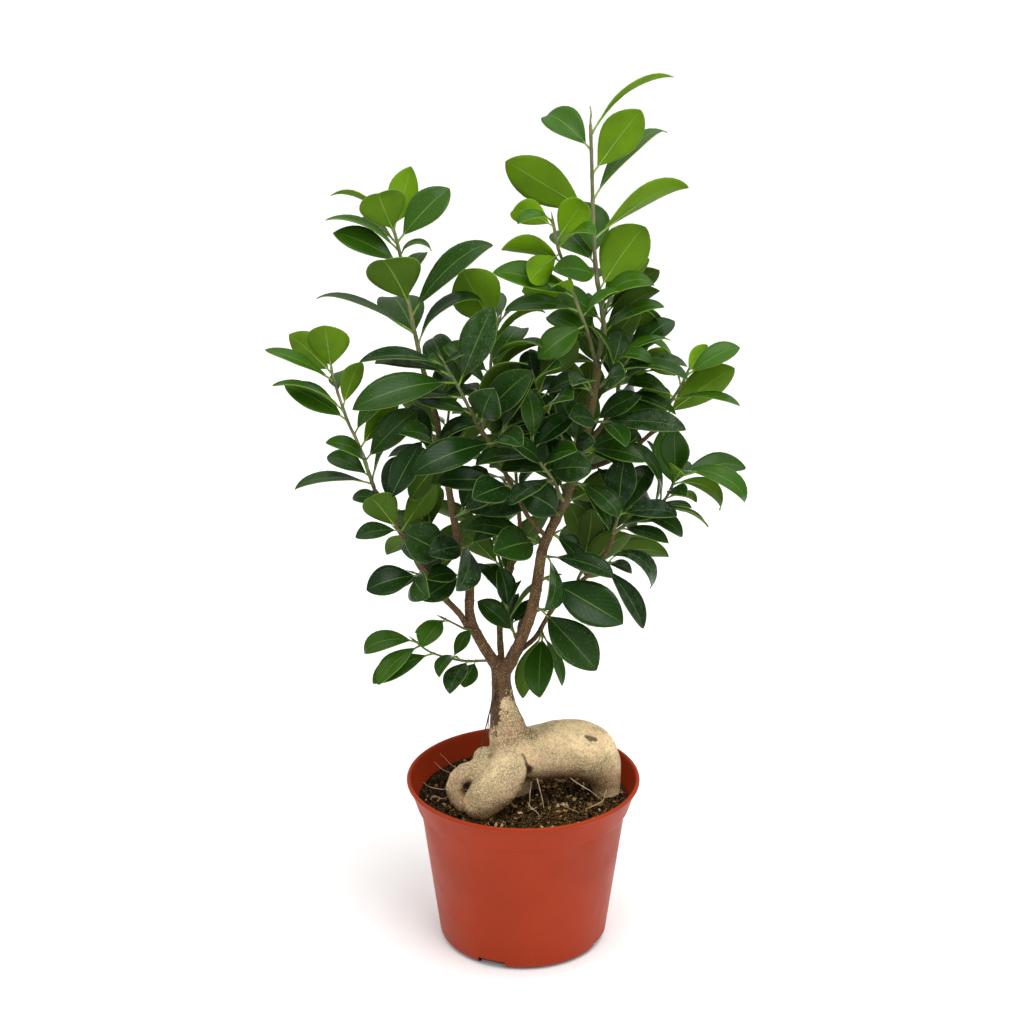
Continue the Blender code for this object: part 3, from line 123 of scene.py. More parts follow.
# Shoots. Twig radius, number of leaves that simply follow the growth rule, path of the twig, then the leaves
# that have a place of their own: place along the twig from 0 to 1, seen angle, angle away from the front,
# length, width, turn, arch. Seen from the front and a little above, 0 points right and 90 up. With turn 0 a
# leaf shows its upper face, with 90 its edge, and with 180 its underside. Arch is its rise over its length.
VIEW_TILT = 20.0
SHOOTS = {
    "leader_shoot": (1.3, 0, ((36, 5, 313), (39, 5, 324), (37, 4, 341), (34.5, 3, 357), (33, 2, 378),
                              (32, 1, 404), (31, 0, 427)), (
        (0.96, 37, 8, 50, 11, 96, 0.12), (0.8, 51, -16, 38, 21, 165, 0.08), (0.9, 138, 26, 31, 18, 20, 0.1),
        (0.69, 45, 8, 53, 16, 55, 0.08), (0.63, 149, -6, 49, 22, 168, 0.1),
        (0.53, 30, 5, 53, 18, 112, 0.05), (0.31, 55, -20, 38, 26, 168, 0.1),
        (0.44, 97, 25, 34, 20, 15, 0.05), (0.42, 128, 32, 35, 22, 15, 0.1),
        (0.37, 177, -30, 34, 15, 20, 0.08), (0.27, 41, 15, 33, 15, 150, 0.1),
        (0.35, 62, 30, 34, 14, 30, 0.08), (0.22, 24, 10, 28, 15, 50, 0.3), (0.12, 22, -8, 32, 13, 55, 0.16),
        (0.17, 150, -15, 30, 14, 30, 0.1), (1.0, 92, 0, 10, 3, 90, 0.0))),
    "second_shoot": (1.1, 0, ((34, -1, 315), (31, -4, 327), (25, -8, 344), (21, -10, 358), (16, -11, 371),
                              (13.5, -12, 384)), (
        (0.97, 158, -25, 22, 14, 160, 0.16), (0.95, 178, 4, 23, 9, 60, 0.25),
        (0.72, 166, -10, 31, 16, 120, 0.14), (0.5, 166, -15, 42, 16, 30, 0.12),
        (0.8, 222, -25, 22, 15, 165, 0.06), (0.88, 52, -22, 23, 17, 165, 0.1),
        (0.66, 46, 4, 34, 9, 100, 0.1), (0.3, 214, -15, 29, 16, 15, 0.1), (0.22, 151, 20, 24, 13, 30, 0.1),
        (0.4, 178, -5, 36, 14, 45, 0.12), (0.36, 35, 15, 22, 12, 60, 0.1),
        (0.6, 186, -15, 27, 16, 160, 0.06))),
    "upper_left_shoot": (1.1, 0, ((-51, -6, 321), (-55, -6, 342), (-59, -6, 367), (-62, -6, 380)), (
        (0.98, 73, 14, 33, 16, 160, 0.06), (1.0, 116, -50, 27, 24, 172, 0.0),
        (0.93, 147, 12, 38, 9, 100, 0.14), (0.88, 49, 15, 36, 18, 15, 0.04),
        (0.81, 157, 0, 38, 14, 72, 0.12), (0.85, 143, 20, 31, 13, 100, 0.08),
        (0.7, 153, -12, 36, 16, 32, 0.06), (0.38, 117, -36, 31, 28, 168, 0.04),
        (0.28, 40, -8, 52, 18, 38, 0.12), (0.14, 161, 0, 51, 13, 70, 0.08),
        (0.03, 32, -5, 38, 15, 60, 0.22), (0.08, 118, 42, 36, 24, 20, 0.1), (0.2, 24, 38, 34, 16, 30, 0.1),
        (0.75, 14, 0, 15, 6, 60, 0.35), (0.55, 60, 25, 20, 12, 40, 0.1))),
    "far_left_shoot": (1.0, 0, ((-73, -18, 254), (-80, -18, 276), (-85, -18, 288), (-91, -18, 308),
                                (-92, -18, 314)), (
        (1.0, 96, -44, 28, 22, 172, 0.0), (0.96, 139, 16, 30, 17, 152, 0.06),
        (0.9, 155, 5, 36, 12, 62, 0.05), (0.57, 149, -12, 35, 16, 35, 0.06),
        (0.64, 160, 2, 40, 12, 75, 0.12), (0.68, 66, -8, 24, 13, 140, 0.08), (0.8, 84, 35, 22, 12, 30, 0.1),
        (0.02, 183, 0, 38, 12, 66, 0.1), (0.05, 56, 6, 38, 11, 66, 0.12), (0.22, 42, -10, 36, 17, 22, 0.1),
        (0.33, 52, 8, 31, 13, 150, 0.08), (0.14, 147, -12, 31, 14, 60, 0.2),
        (0.09, 156, 12, 24, 13, 40, 0.1), (0.45, 48, 20, 26, 12, 40, 0.1))),
    "left_centre_shoot": (1.0, 1, ((-23, -11, 285), (-32, -16, 305), (-39, -18, 318)), (
        (0.08, 44, -20, 42, 17, 120, 0.16), (0.16, 168, -10, 30, 13, 40, 0.1),
        (0.42, 181, -10, 43, 15, 50, 0.05), (0.6, 64, -18, 43, 18, 10, 0.04),
        (0.66, 195, -24, 55, 18, 25, 0.12), (0.76, 170, 25, 38, 14, 50, 0.1),
        (0.92, 178, -14, 42, 14, 55, 0.1), (0.97, 20, 5, 12, 7, 60, 0.0),
        (1.0, 156, -25, 17, 8, 60, 0.05))),
    "heart_shoot": (1.0, 1, ((-20, -8, 281), (-17, -4, 294), (-16, -4, 314), (-15, -4, 324),
                             (-12, -5, 334)), (
        (0.92, 122, -22, 33, 27, 170, 0.05), (0.95, 118, 18, 55, 14, 62, 0.12),
        (0.75, 33, -5, 31, 13, 100, 0.14), (0.4, 41, -5, 31, 14, 100, 0.12),
        (0.52, 150, -15, 27, 14, 30, 0.1), (0.98, 30, 0, 33, 12, 70, 0.12))),
    "right_upper_shoot": (1.0, 1, ((67, 24, 271), (72, 22, 283), (78, 20, 294), (81, 18, 302)), (
        (0.2, 32, -12, 44, 19, 160, 0.08), (0.92, 27, 5, 31, 14, 40, 0.08),
        (0.98, 52, 15, 28, 13, 160, 0.06), (0.12, 279, -25, 33, 18, 15, 0.05),
        (0.94, 148, -10, 24, 14, 160, 0.1), (0.08, 106, -40, 23, 20, 170, 0.05),
        (0.1, 29, 16, 31, 10, 60, 0.05), (0.55, 168, -15, 26, 13, 50, 0.12),
        (0.42, 100, 25, 22, 13, 20, 0.0), (0.3, 190, -10, 26, 13, 40, 0.1))),
    "right_lower_shoot": (1.0, 1, ((46, -6, 227), (58, -4, 235), (69, -2, 241), (76, -4, 257)), (
        (0.98, 335, -12, 36, 15, 48, 0.22), (0.93, 10, 6, 37, 14, 42, 0.12),
        (0.84, 329, -18, 27, 13, 125, 0.3), (0.9, 90, -20, 29, 16, 10, 0.05),
        (0.06, 343, -25, 27, 12, 50, 0.1), (0.12, 18, -10, 18, 9, 60, 0.1),
        (0.26, 337, 10, 25, 13, 50, 0.2), (0.34, 356, -30, 29, 13, 40, 0.1), (0.44, 3, -18, 23, 9, 74, 0.1),
        (0.56, 123, -10, 36, 12, 60, 0.2), (0.64, 356, -5, 19, 10, 110, 0.15),
        (0.74, 341, -22, 18, 10, 45, 0.15), (0.78, 60, 30, 26, 13, 20, 0.1))),
    "right_near_shoot": (1.0, 1, ((45, -5, 228), (46, -8, 233), (47, -10, 238)), (
        (0.7, 84, -12, 31, 17, 14, 0.06), (0.35, 108, -10, 29, 10, 55, 0.12),
        (0.9, 357, -15, 29, 12, 40, 0.1), (1.0, 60, 15, 26, 13, 35, 0.1))),
    "arching_spur": (0.8, 0, ((39, -3, 208), (43, -6, 210)), (
        (1.0, 328, -8, 24, 12, 50, 0.42), (0.2, 301, 0, 38, 14, 42, 0.08),
        (0.55, 340, 15, 16, 9, 50, 0.1))),
    "front_spur_a": (0.8, 1, ((10, -10, 215), (13, -13, 216)), ((1.0, 340, -15, 34, 14, 40, 0.1),)),
    "front_spur_b": (0.8, 0, ((9, -10, 204), (12, -13, 204)), ((1.0, 327, -18, 45, 23, 15, 0.08),)),
    "front_spur_c": (0.8, 0, ((6, -8, 187), (9, -11, 187)), ((1.0, 311, -15, 42, 22, 15, 0.07),)),
    "hanging_spur": (0.8, 1, ((9, 11, 167), (10, 7, 166)), (
        (0.4, 254, 8, 36, 14, 150, 0.05), (0.6, 292, 12, 29, 9, 50, 0.05),
        (1.0, 268, -18, 39, 17, 18, 0.05))),
    "low_left_twig": (0.8, 0, ((-18, -1, 155), (-31, -8, 158), (-46, -12, 164), (-54, -14, 171)), (
        (0.16, 247, -28, 16, 11, 20, 0.1), (0.26, 238, -15, 26, 13, 35, 0.1),
        (0.36, 213, -20, 22, 10, 60, 0.24), (0.48, 60, 0, 17, 9, 40, 0.0), (0.72, 207, -8, 34, 14, 35, 0.1),
        (0.92, 222, -20, 30, 13, 40, 0.1), (1.0, 192, 0, 27, 13, 40, 0.22))),
    "small_left_twig": (0.7, 0, ((-30, -2, 173), (-40, -8, 181)), (
        (0.8, 200, 0, 18, 9, 110, 0.1), (1.0, 230, -10, 20, 14, 30, 0.08))),
    "branch_spur_low": (0.7, 1, ((-49, -14, 206), (-54, -17, 209)), (
        (0.15, 205, 20, 16, 7, 50, 0.05), (0.5, 193, -12, 28, 17, 25, 0.08),
        (1.0, 176, 10, 24, 10, 60, 0.14))),
    "branch_spur_middle": (0.8, 0, ((-58, -17, 229), (-62, -22, 234)), (
        (1.0, 128, -20, 26, 18, 165, 0.05), (0.45, 55, 5, 29, 14, 165, 0.05),
        (0.2, 190, -15, 22, 12, 40, 0.1))),
    "branch_spur_high": (0.7, 1, ((-66, -20, 245), (-66, -24, 248)), (
        (0.4, 75, 10, 26, 12, 40, 0.15), (1.0, 172, -10, 25, 13, 40, 0.1),
        (0.7, 292, -15, 20, 14, 20, 0.08))),
    "round_leaf_spur": (0.7, 0, ((-34, -6, 216), (-37, -12, 215)), (
        (1.0, 152, -20, 29, 22, 10, 0.06), (0.4, 203, -22, 28, 15, 20, 0.1))),
    "left_low_spur": (0.8, 0, ((-30, -6, 203), (-32, -10, 205)), (
        (0.6, 214, -10, 24, 15, 25, 0.08), (1.0, 184, -12, 22, 13, 40, 0.1))),
    "left_middle_spur": (0.7, 1, ((-30, -8, 219), (-27, -11, 221)), (
        (0.3, 192, -14, 25, 15, 22, 0.1), (0.9, 28, 5, 25, 13, 40, 0.1))),
    "left_high_spur": (0.7, 1, ((-33, -9, 236), (-30, -12, 239)), (
        (0.6, 60, 5, 26, 15, 20, 0.1), (1.0, 26, -15, 30, 14, 35, 0.1))),
    "left_side_shoot": (0.9, 1, ((-41, -8, 262), (-43, -12, 268), (-44, -14, 275)), (
        (0.2, 236, -10, 24, 13, 150, 0.1), (0.4, 197, 10, 22, 9, 60, 0.1), (0.7, 185, 15, 24, 10, 60, 0.1),
        (1.0, 165, -10, 28, 13, 40, 0.14))),
    "left_upper_spur": (0.8, 2, ((-44, -8, 291), (-42, -12, 296)), (
        (0.3, 20, -15, 26, 12, 50, 0.1), (0.6, 172, -20, 27, 12, 50, 0.1),
        (1.0, 65, -10, 26, 13, 40, 0.1))),
    "centre_shoot": (1.0, 2, ((18, -8, 246), (14, -14, 257), (7, -18, 268), (4, -20, 278)), (
        (0.55, 3, -25, 24, 18, 20, 0.08), (0.5, 175, -20, 25, 12, 50, 0.1),
        (0.65, 145, -15, 28, 12, 40, 0.1), (0.9, 40, -20, 24, 13, 30, 0.1),
        (1.0, 98, -10, 27, 14, 30, 0.1))),
    "centre_high_shoot": (0.9, 2, ((-14, -15, 275), (-9, -15, 284), (-6, -14, 294)), (
        (0.06, 202, -16, 47, 18, 20, 0.12), (0.16, 345, -20, 31, 14, 40, 0.12),
        (0.36, 59, -20, 34, 13, 40, 0.12), (0.52, 80, 0, 38, 15, 15, 0.05), (0.8, 40, -5, 27, 12, 40, 0.1),
        (1.0, 130, -15, 27, 14, 40, 0.1))),
    "inner_top_shoot": (0.9, 4, ((26, -3, 262), (16, -10, 282), (8, -14, 298), (5, -15, 308)), (
        (0.8, 25, 15, 25, 12, 40, 0.1), (0.9, 200, -10, 24, 12, 50, 0.1),
        (1.0, 44, -15, 28, 17, 165, 0.05))),
    "right_mid_spur": (0.8, 0, ((29, -3, 267), (31, -8, 270)), (
        (1.0, 350, -22, 31, 13, 40, 0.1), (0.3, 345, 12, 30, 13, 40, 0.1), (0.6, 20, -12, 27, 13, 30, 0.1),
        (0.8, 118, -10, 26, 13, 30, 0.1))),
    "right_high_spur": (0.8, 0, ((33, 0, 296), (32, -5, 301)), (
        (0.3, 143, -10, 25, 10, 140, 0.1), (0.6, 181, -25, 30, 11, 50, 0.1),
        (1.0, 188, -30, 35, 13, 60, 0.1))),
    "shelf_shoot": (0.9, 2, ((37, 2, 299), (42, -4, 307), (46, -5, 315)), (
        (0.1, 10, -15, 42, 12, 65, 0.12), (0.3, 4, -25, 24, 16, 20, 0.05),
        (0.5, 355, -20, 42, 13, 60, 0.14), (0.7, 22, 10, 33, 15, 30, 0.05),
        (0.85, 357, -30, 19, 10, 50, 0.3), (1.0, 22, -5, 29, 12, 60, 0.16))),
    "light_shoot": (0.9, 6, ((46, 22, 287), (48, 22, 296), (50, 21, 306)), (
        (0.1, 342, -15, 37, 12, 50, 0.15), (0.3, 335, 25, 31, 14, 40, 0.1))),
    "lower_centre_spur": (0.8, 0, ((8, -6, 222), (5, -10, 222)), (
        (0.4, 168, -20, 38, 14, 50, 0.08), (1.0, 192, -12, 38, 20, 22, 0.08))),
    "lower_right_spur": (0.8, 0, ((13, -5, 224), (16, -3, 225)), (
        (0.3, 310, 5, 25, 11, 40, 0.1), (0.6, 315, 20, 25, 13, 40, 0.1), (1.0, 325, 15, 22, 16, 20, 0.0))),
    "curled_leaf_spur": (0.8, 0, ((16, -8, 236), (17, -12, 238)), ((1.0, 147, -25, 23, 19, 15, 0.22),)),
    "right_fork_spur": (0.8, 0, ((25, -4, 251), (28, -7, 252)), (
        (0.5, 303, 10, 28, 10, 50, 0.1), (1.0, 319, -20, 26, 13, 30, 0.15))),
    "between_stems_twig": (0.8, 0, ((-3, 0, 164), (-6, 4, 172), (-9, 7, 182)), (
        (0.25, 140, -10, 25, 13, 28, 0.12), (0.5, 40, 10, 18, 10, 40, 0.0), (0.75, 70, -10, 20, 8, 60, 0.1),
        (1.0, 128, -10, 29, 12, 60, 0.15))),
    "heart_side_spur": (0.8, 0, ((-23, -13, 284), (-20, -17, 288)), (
        (0.5, 45, -20, 40, 18, 20, 0.06), (1.0, 68, -30, 33, 19, 15, 0.05),
        (0.3, 172, -15, 36, 14, 30, 0.08), (0.75, 200, 5, 28, 13, 40, 0.1))),
    "centre_mid_spur": (0.8, 1, ((27, -4, 270), (24, -9, 273)), (
        (0.4, 151, -25, 26, 13, 40, 0.08), (0.95, 187, -20, 27, 20, 20, 0.05),
        (0.7, 110, -15, 28, 14, 30, 0.08))),
    "right_outer_spur": (0.8, 0, ((34, -1, 282), (39, -7, 284)), (
        (0.6, 352, -15, 43, 14, 30, 0.08), (0.4, 170, -25, 27, 14, 30, 0.05),
        (0.8, 312, -10, 30, 12, 40, 0.08), (1.0, 30, -25, 28, 13, 30, 0.1))),
    "left_inner_spur": (0.8, 0, ((-7, -19, 255), (-9, -22, 258)), (
        (0.4, 205, -15, 36, 17, 20, 0.06), (0.7, 178, -10, 34, 14, 25, 0.06),
        (1.0, 140, -20, 26, 13, 30, 0.1))),
    "back_shoot_mid": (0.9, 10, ((22, 1, 240), (16, 20, 250), (12, 38, 264)), ()),
    "back_shoot_low": (0.9, 8, ((-8, 20, 187), (-12, 33, 196), (-16, 46, 206)), ()),
    "back_shoot_top": (0.9, 9, ((-3, 27, 234), (-4, 38, 250), (-2, 48, 266)), ()),
    "back_shoot_left": (0.9, 9, ((-38, -3, 262), (-38, 16, 274), (-36, 32, 290)), ()),
    "back_shoot_right": (0.9, 9, ((27, 3, 260), (31, 26, 270), (34, 42, 286)), ()),
    "back_shoot_high": (0.9, 9, ((36, 8, 304), (38, 26, 318), (42, 38, 332)), ()),
    "back_shoot_outer": (0.9, 8, ((-43, -5, 198), (-46, 14, 212), (-50, 28, 226)), ()),
    "back_shoot_far_right": (0.9, 9, ((28, 10, 196), (36, 26, 206), (44, 38, 216)), ()),
}

# The feet of the main stems are melted into the neck, so that the fork grows out of it.
FORK_STEMS = ("right_stem", "left_stem", "back_stem", "low_right_branch")
FORK_LENGTH = 15.0
# Length of stem from one old leaf scar to the next.
LEAF_SCAR_STEP = 9.5

# Marks on the caudex: the pruning scar as (x, y, z, radius), then the places of the knot, the hollow inside
# the curled root, the rough knob, the rough toe and the crease between the front root and the lobe.
SCARS = ((31.8, -4.6, 113.6, 1.5), (34.0, -4.8, 112.9, 1.9), (36.4, -4.6, 112.2, 1.4))
KNOT = (-6.3, -10.5, 113.9)
CURL_HOLLOW = (-27.3, -14.0, 90.0)
ROUGH_KNOB = (-20.0, -3.0, 105.0)
ROUGH_TOE = (-36.0, -10.0, 86.0)
CREASE = (1.5, -12.0, 99.0)
# Stains on the root's skin, and painted shade in its hollows and along the crease: (place, reach, shade,
# share).
STAINS = (
    ((-36.5, -10, 83), 6.0, (0.22, 0.130, 0.065), 0.35),
    ((1.5, -4, 116), 5.5, (0.20, 0.110, 0.055), 0.75),
    ((-6, -8, 120), 9.0, (0.34, 0.19, 0.10), 0.75),
    ((-9, -10, 108), 7.0, (0.46, 0.27, 0.16), 0.55),
    ((14, -12, 103), 9.0, (0.60, 0.40, 0.26), 0.40),
    ((-4.8, -0.5, 131), 2.6, (0.10, 0.052, 0.024), 0.85),
    ((-2.6, 0.5, 126.5), 2.2, (0.11, 0.058, 0.026), 0.80),
    ((-1.0, -0.5, 122.5), 2.4, (0.12, 0.062, 0.028), 0.80),
)
# Painted shade: near black in the curled root's hollow, dark along the crease between front root and lobe and
# in the hollow by the knob.
HOLLOW_SHADE = (
    (CURL_HOLLOW, 4.0, (0.022, 0.012, 0.006), 0.97),
    (CREASE, 3.4, (0.06, 0.030, 0.015), 0.92),
    ((-0.4, -14.6, 108.2), 1.3, (0.20, 0.105, 0.052), 0.70),
    ((0.3, -15.0, 106.2), 1.6, (0.15, 0.080, 0.040), 0.85),
    ((1.0, -15.3, 104.2), 1.8, (0.11, 0.060, 0.030), 0.90),
    ((1.8, -15.2, 102.1), 2.0, (0.08, 0.042, 0.021), 0.92),
    ((2.8, -13.6, 99.6), 2.2, (0.06, 0.030, 0.015), 0.92),
    ((-15.5, -7, 103), 2.6, (0.10, 0.055, 0.03), 0.7),
)
# The bark ends at this height, and lower on the left: where its slope starts, how steep and how deep it is.
BARK_LINE = 135.5
BARK_SLOPE_START = 10.5
BARK_SLOPE = 4.5
BARK_SLOPE_DEPTH = 15.0

# Thin roots: (radius, path).
HANGING_ROOTS = (
    (0.45, ((-14.5, -4.5, 141), (-16.0, -5.5, 133), (-18.6, -5.2, 122), (-20.6, -4.5, 113),
            (-21.4, -4.2, 107))),
    (0.32, ((-15.0, -4.0, 138), (-17.4, -6.0, 127), (-18.4, -6.5, 117), (-19.6, -5.6, 109))),
    (0.38, ((-14.0, -5.0, 146), (-15.2, -6.2, 137), (-15.6, -6.8, 128), (-14.0, -8.0, 119))),
)
SOIL_ROOTS = (
    (0.38, ((7, -10, 93), (8.5, -13.5, 88), (10, -16, 83), (10.6, -18, 80))),
    (0.30, ((4, -12, 92), (3.5, -15.5, 86), (2.6, -17, 80))),
    (0.30, ((24, -9, 93), (31, -13.5, 90), (37, -14.5, 86), (41, -14, 82.5))),
    (0.36, ((41, -14, 82.5), (37, -16.5, 81), (32, -19, 80))),
    (0.26, ((43, -9, 86), (41.6, -12, 83), (40.6, -14, 80.6))),
    (0.26, ((-37, -6, 86), (-43, -4, 84), (-48, 0, 83), (-52, 4, 84))),
    (0.22, ((-36, -8, 84), (-41, -8, 81), (-46, -5, 80))),
    (0.20, ((-33, 18, 79), (-41, 21, 82), (-47, 23, 86))),
    (0.18, ((-30, 22, 79), (-38, 27, 83), (-44, 30, 88))),
    (0.22, ((-27, -17, 93), (-26, -20, 89), (-24, -21.5, 86))),
    (0.20, ((-25, -16, 95), (-28, -19, 91), (-31, -19, 88))),
    (0.24, ((2, -19, 84), (6, -23, 81), (9, -28, 79.8))),
    (0.24, ((18, -12, 79.6), (23, -18, 80.4), (29, -22, 79.6))),
)

# Growth: the turn from leaf to leaf, a ruled leaf's size, the stalk's share of the length, the plain shape
# of a leaf's solid, and the room that leaves keep. Blades that have no solid make do with the thin margin.
GOLDEN_ANGLE = 137.5
GROWTH_SEED = 11
RULE_LENGTH = 36.0
RULE_WIDTH = 16.5
RULE_ARCH = 0.1
RULE_SPREAD = (52, 72)
RULE_STRAY = 12
STALK_SHARE = 0.13
LONG_TWIG = 30.0 * MM
SOLID_OUTLINE = ((0.36, 0.92), (0.74, 0.92))
SOLID_THICKNESS = 0.8 * MM
SOLID_FOLD = 0.18
STALK_WIDTH = 1.0 * MM
LEAF_MARGIN = 0.5 * MM
SEAT_GAP = 0.3 * MM
THIN_MARGIN = 0.05 * MM
TRIM_STEP = 0.1 * MM
SHRINK_STEPS = (1.0, 0.85, 0.72)
ASIDE_STEPS = (0, -10, 10, -20, 20, -32, 32, -45, 45)
# Thin leaves that close the crown: their size, some with a place of their own as in SHOOTS, and then how many
# more each shoot gets by the growth rule.
FILL_LENGTH = 31.0
FILL_WIDTH = 14.5
FILL_NOTED = {
    "lower_centre_spur": ((0.90, 196, -28, 36, 18, 35, 0.06),),
    "front_spur_b": ((0.30, 188, -20, 40, 19, 30, 0.06),),
    "front_spur_c": ((0.50, 150, -20, 26, 12, 40, 0.08),),
    "front_spur_a": ((0.50, 18, 15, 28, 13, 30, 0.08),),
    "left_low_spur": ((0.60, 352, -15, 27, 13, 30, 0.08),),
    "left_middle_spur": ((0.60, 330, -15, 30, 14, 30, 0.08),),
    "between_stems_twig": ((0.55, 75, -10, 24, 11, 40, 0.08), (0.90, 100, 15, 26, 12, 30, 0.08)),
}
FILL_LEAVES = {
    2: ("round_leaf_spur", "right_mid_spur", "right_high_spur", "shelf_shoot", "light_shoot",
        "right_outer_spur", "heart_side_spur", "right_upper_shoot", "branch_spur_middle", "branch_spur_high"),
    3: ("left_low_spur", "left_middle_spur", "left_high_spur", "left_side_shoot", "left_upper_spur",
        "centre_high_shoot", "inner_top_shoot", "lower_centre_spur", "lower_right_spur", "right_fork_spur",
        "centre_mid_spur", "left_inner_spur", "right_lower_shoot", "second_shoot", "right_near_shoot"),
    4: ("centre_shoot", "between_stems_twig", "heart_shoot", "back_shoot_mid", "back_shoot_low",
        "back_shoot_top", "back_shoot_left", "back_shoot_right", "back_shoot_high", "back_shoot_outer",
        "back_shoot_far_right"),
}

# Blades: columns and rows of the grid, the outline's shape, where the tip starts to curl, and the curls
# that a tip can have, in degrees.
BLADE_COLUMNS = 4
BLADE_ROWS = 8
BLADE_WIDEST = 1.2
BLADE_BLUNTNESS = 0.78
TIP_POINT = 0.03
CURL_START = 0.70
CURLS = (8, 14, 20, 30, 45, 60)
# Stalk: radius at shares of the leaf's length. Bud: (length, radius) of its steps.
STALK_PROFILE = ((0.03, 0.60), (0.07, 0.50), (0.11, 0.50), (0.16, 0.48), (0.24, 0.40), (0.36, 0.28),
                 (0.50, 0.16))
BUD_PROFILE = ((1.2, 0.62), (3.0, 0.42), (5.0, 0.05))

# Camera and the spot that the softboxes look at, in metres. Softboxes: name, place, size, watts.
CAMERA_PLACE = (-0.0058, -1.0749, 0.6216)
LIGHT_TARGET = (0.0, 0.0, 0.22)
SOFTBOXES = (
    ("overhead softbox", (0.40, -0.6, 2.2), (1.4, 1.4), 24.0),
    ("key softbox", (1.2, -1.7, 1.6), (0.8, 0.8), 6.0),
)

# How young a shoot's leaves are, from 0 to 1, and the shoots that the record gives the young leaves' finish.
YOUNG_SHOOTS = {
    "leader_shoot": 0.75, "second_shoot": 0.85, "upper_left_shoot": 0.45, "far_left_shoot": 0.55,
    "right_upper_shoot": 0.70, "right_lower_shoot": 0.35, "heart_shoot": 0.45, "low_left_twig": 0.40,
    "centre_high_shoot": 0.3, "shelf_shoot": 0.25, "small_left_twig": 0.5, "hanging_spur": 0.35,
}
OLD_TONE = 0.12

CRUMB_SEED = 7
HABIT_SEED = 23


# ---- Growth rule, shared with the solids -------------------------------------------------------------------

def point(xyz):
    return Vector(xyz[:3]) * MM


def curve_points(path, steps):
    """Points on a smooth curve through the given ones; each may carry a radius as its last number."""
    rows = [Vector(row) for row in path]
    rows = [rows[0] * 2 - rows[1]] + rows + [rows[-1] * 2 - rows[-2]]
    found = []
    for a, b, c, d in zip(rows, rows[1:], rows[2:], rows[3:]):
        for step in range(steps):
            t = step / steps
            found.append(0.5 * (2 * b + (c - a) * t + (2 * a - 5 * b + 4 * c - d) * t * t
                                + (3 * b - a - 3 * c + d) * t * t * t))
    found.append(rows[-2])
    return found


def smooth_path(path, steps):
    return [Vector(row[:3]) * MM for row in curve_points([(*row[:3], 0) for row in path], steps)]


def along(path, share):
    """Point and direction at a share of the length of a line of points."""
    lengths = [(b - a).length for a, b in zip(path, path[1:])]
    left = min(max(share, 0.0), 1.0) * sum(lengths)
    for a, b, length in zip(path, path[1:], lengths):
        if left <= length + 1e-9:
            return a.lerp(b, left / length), (b - a).normalized()
        left -= length
    return path[-1].copy(), (path[-1] - path[-2]).normalized()


def side_frames(points):
    """Two side vectors at each point that turn as little as they can along the line."""
    heading = (points[1] - points[0]).normalized()
    side = heading.orthogonal().normalized()
    sides = []
    for index in range(len(points)):
        before = points[max(index - 1, 0)]
        after = points[min(index + 1, len(points) - 1)]
        heading = (after - before).normalized()
        side = (side - heading * side.dot(heading)).normalized()
        sides.append((side.copy(), heading.cross(side)))
    return sides


def tube_tree(points, radius, sides):
    """The space that a plain tube takes, to test it against its neighbours."""
    verts = []
    for centre, (side, other) in zip(points, side_frames(points)):
        for index in range(sides):
            turn = math.tau * (index + 0.5) / sides
            verts.append(centre + (side * math.cos(turn) + other * math.sin(turn)) * radius)
    faces = [tuple(reversed(range(sides))), tuple(range(len(verts) - sides, len(verts)))]
    for ring in range(len(points) - 1):
        for index in range(sides):
            after = (index + 1) % sides
            faces.append((ring * sides + index, ring * sides + after,
                          (ring + 1) * sides + after, (ring + 1) * sides + index))
    return BVHTree.FromPolygons(verts, faces)


def node_tree_of(name):
    """The space that a node of the frame takes."""
    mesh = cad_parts[name].data
    return BVHTree.FromPolygons([vert.co.copy() for vert in mesh.vertices],
                                [tuple(face.vertices) for face in mesh.polygons])


def nearest_wood(place, wood):
    """Nearest point of the wood's surface, its normal and its distance."""
    found = [tree.find_nearest(place) for tree in wood]
    spot, normal, _index, distance = min(found, key=lambda entry: entry[3])
    return spot, normal, distance


def reach_wood(path, radius, wood):
    """Adds a foot to a path that starts off the wood, so that it leans into the nearest surface."""
    start = path[0]
    spot, normal, distance = nearest_wood(start, wood)
    if distance <= radius or (start - spot).dot(normal) < 0:
        return list(path)
    behind = start - (path[1] - start).normalized() * distance
    spot = nearest_wood(behind, wood)[0]
    return [spot + (spot - start).normalized() * radius, *path]


def trim_start(path, radius, obstacles):
    """Shortens the foot of a path until a tube along it stands clear of the wood that carries it."""
    points = list(path)
    for _ in range(400):
        room = tube_tree(points, radius + SEAT_GAP, 8)
        if not any(room.overlap(tree) for tree in obstacles):
            return points
        while (points[1] - points[0]).length <= TRIM_STEP * 2 and len(points) > 2:
            points.pop(0)
        points[0] = points[0] + (points[1] - points[0]).normalized() * TRIM_STEP
    return points


def seen_direction(seen, away):
    """A direction noted by the angle it shows from the front and by how far it points away from there."""
    tilt = math.radians(VIEW_TILT)
    upward = Vector((0.0, math.sin(tilt), math.cos(tilt)))
    forward = Vector((0.0, math.cos(tilt), -math.sin(tilt)))
    seen, away = math.radians(seen), math.radians(away)
    across = Vector((1.0, 0.0, 0.0)) * math.cos(seen) + upward * math.sin(seen)
    return across * math.cos(away) + forward * math.sin(away)


def seen_face(heading, turn):
    """The direction that the upper face of a leaf looks in, from its noted turn."""
    tilt = math.radians(VIEW_TILT)
    viewer = Vector((0.0, -math.cos(tilt), math.sin(tilt)))
    viewer = (viewer - heading * viewer.dot(heading)).normalized()
    upper = viewer.cross(heading)
    if heading.x < 0:
        upper = -upper
    turn = math.radians(turn)
    return (viewer * math.cos(turn) + upper * math.sin(turn)).normalized()


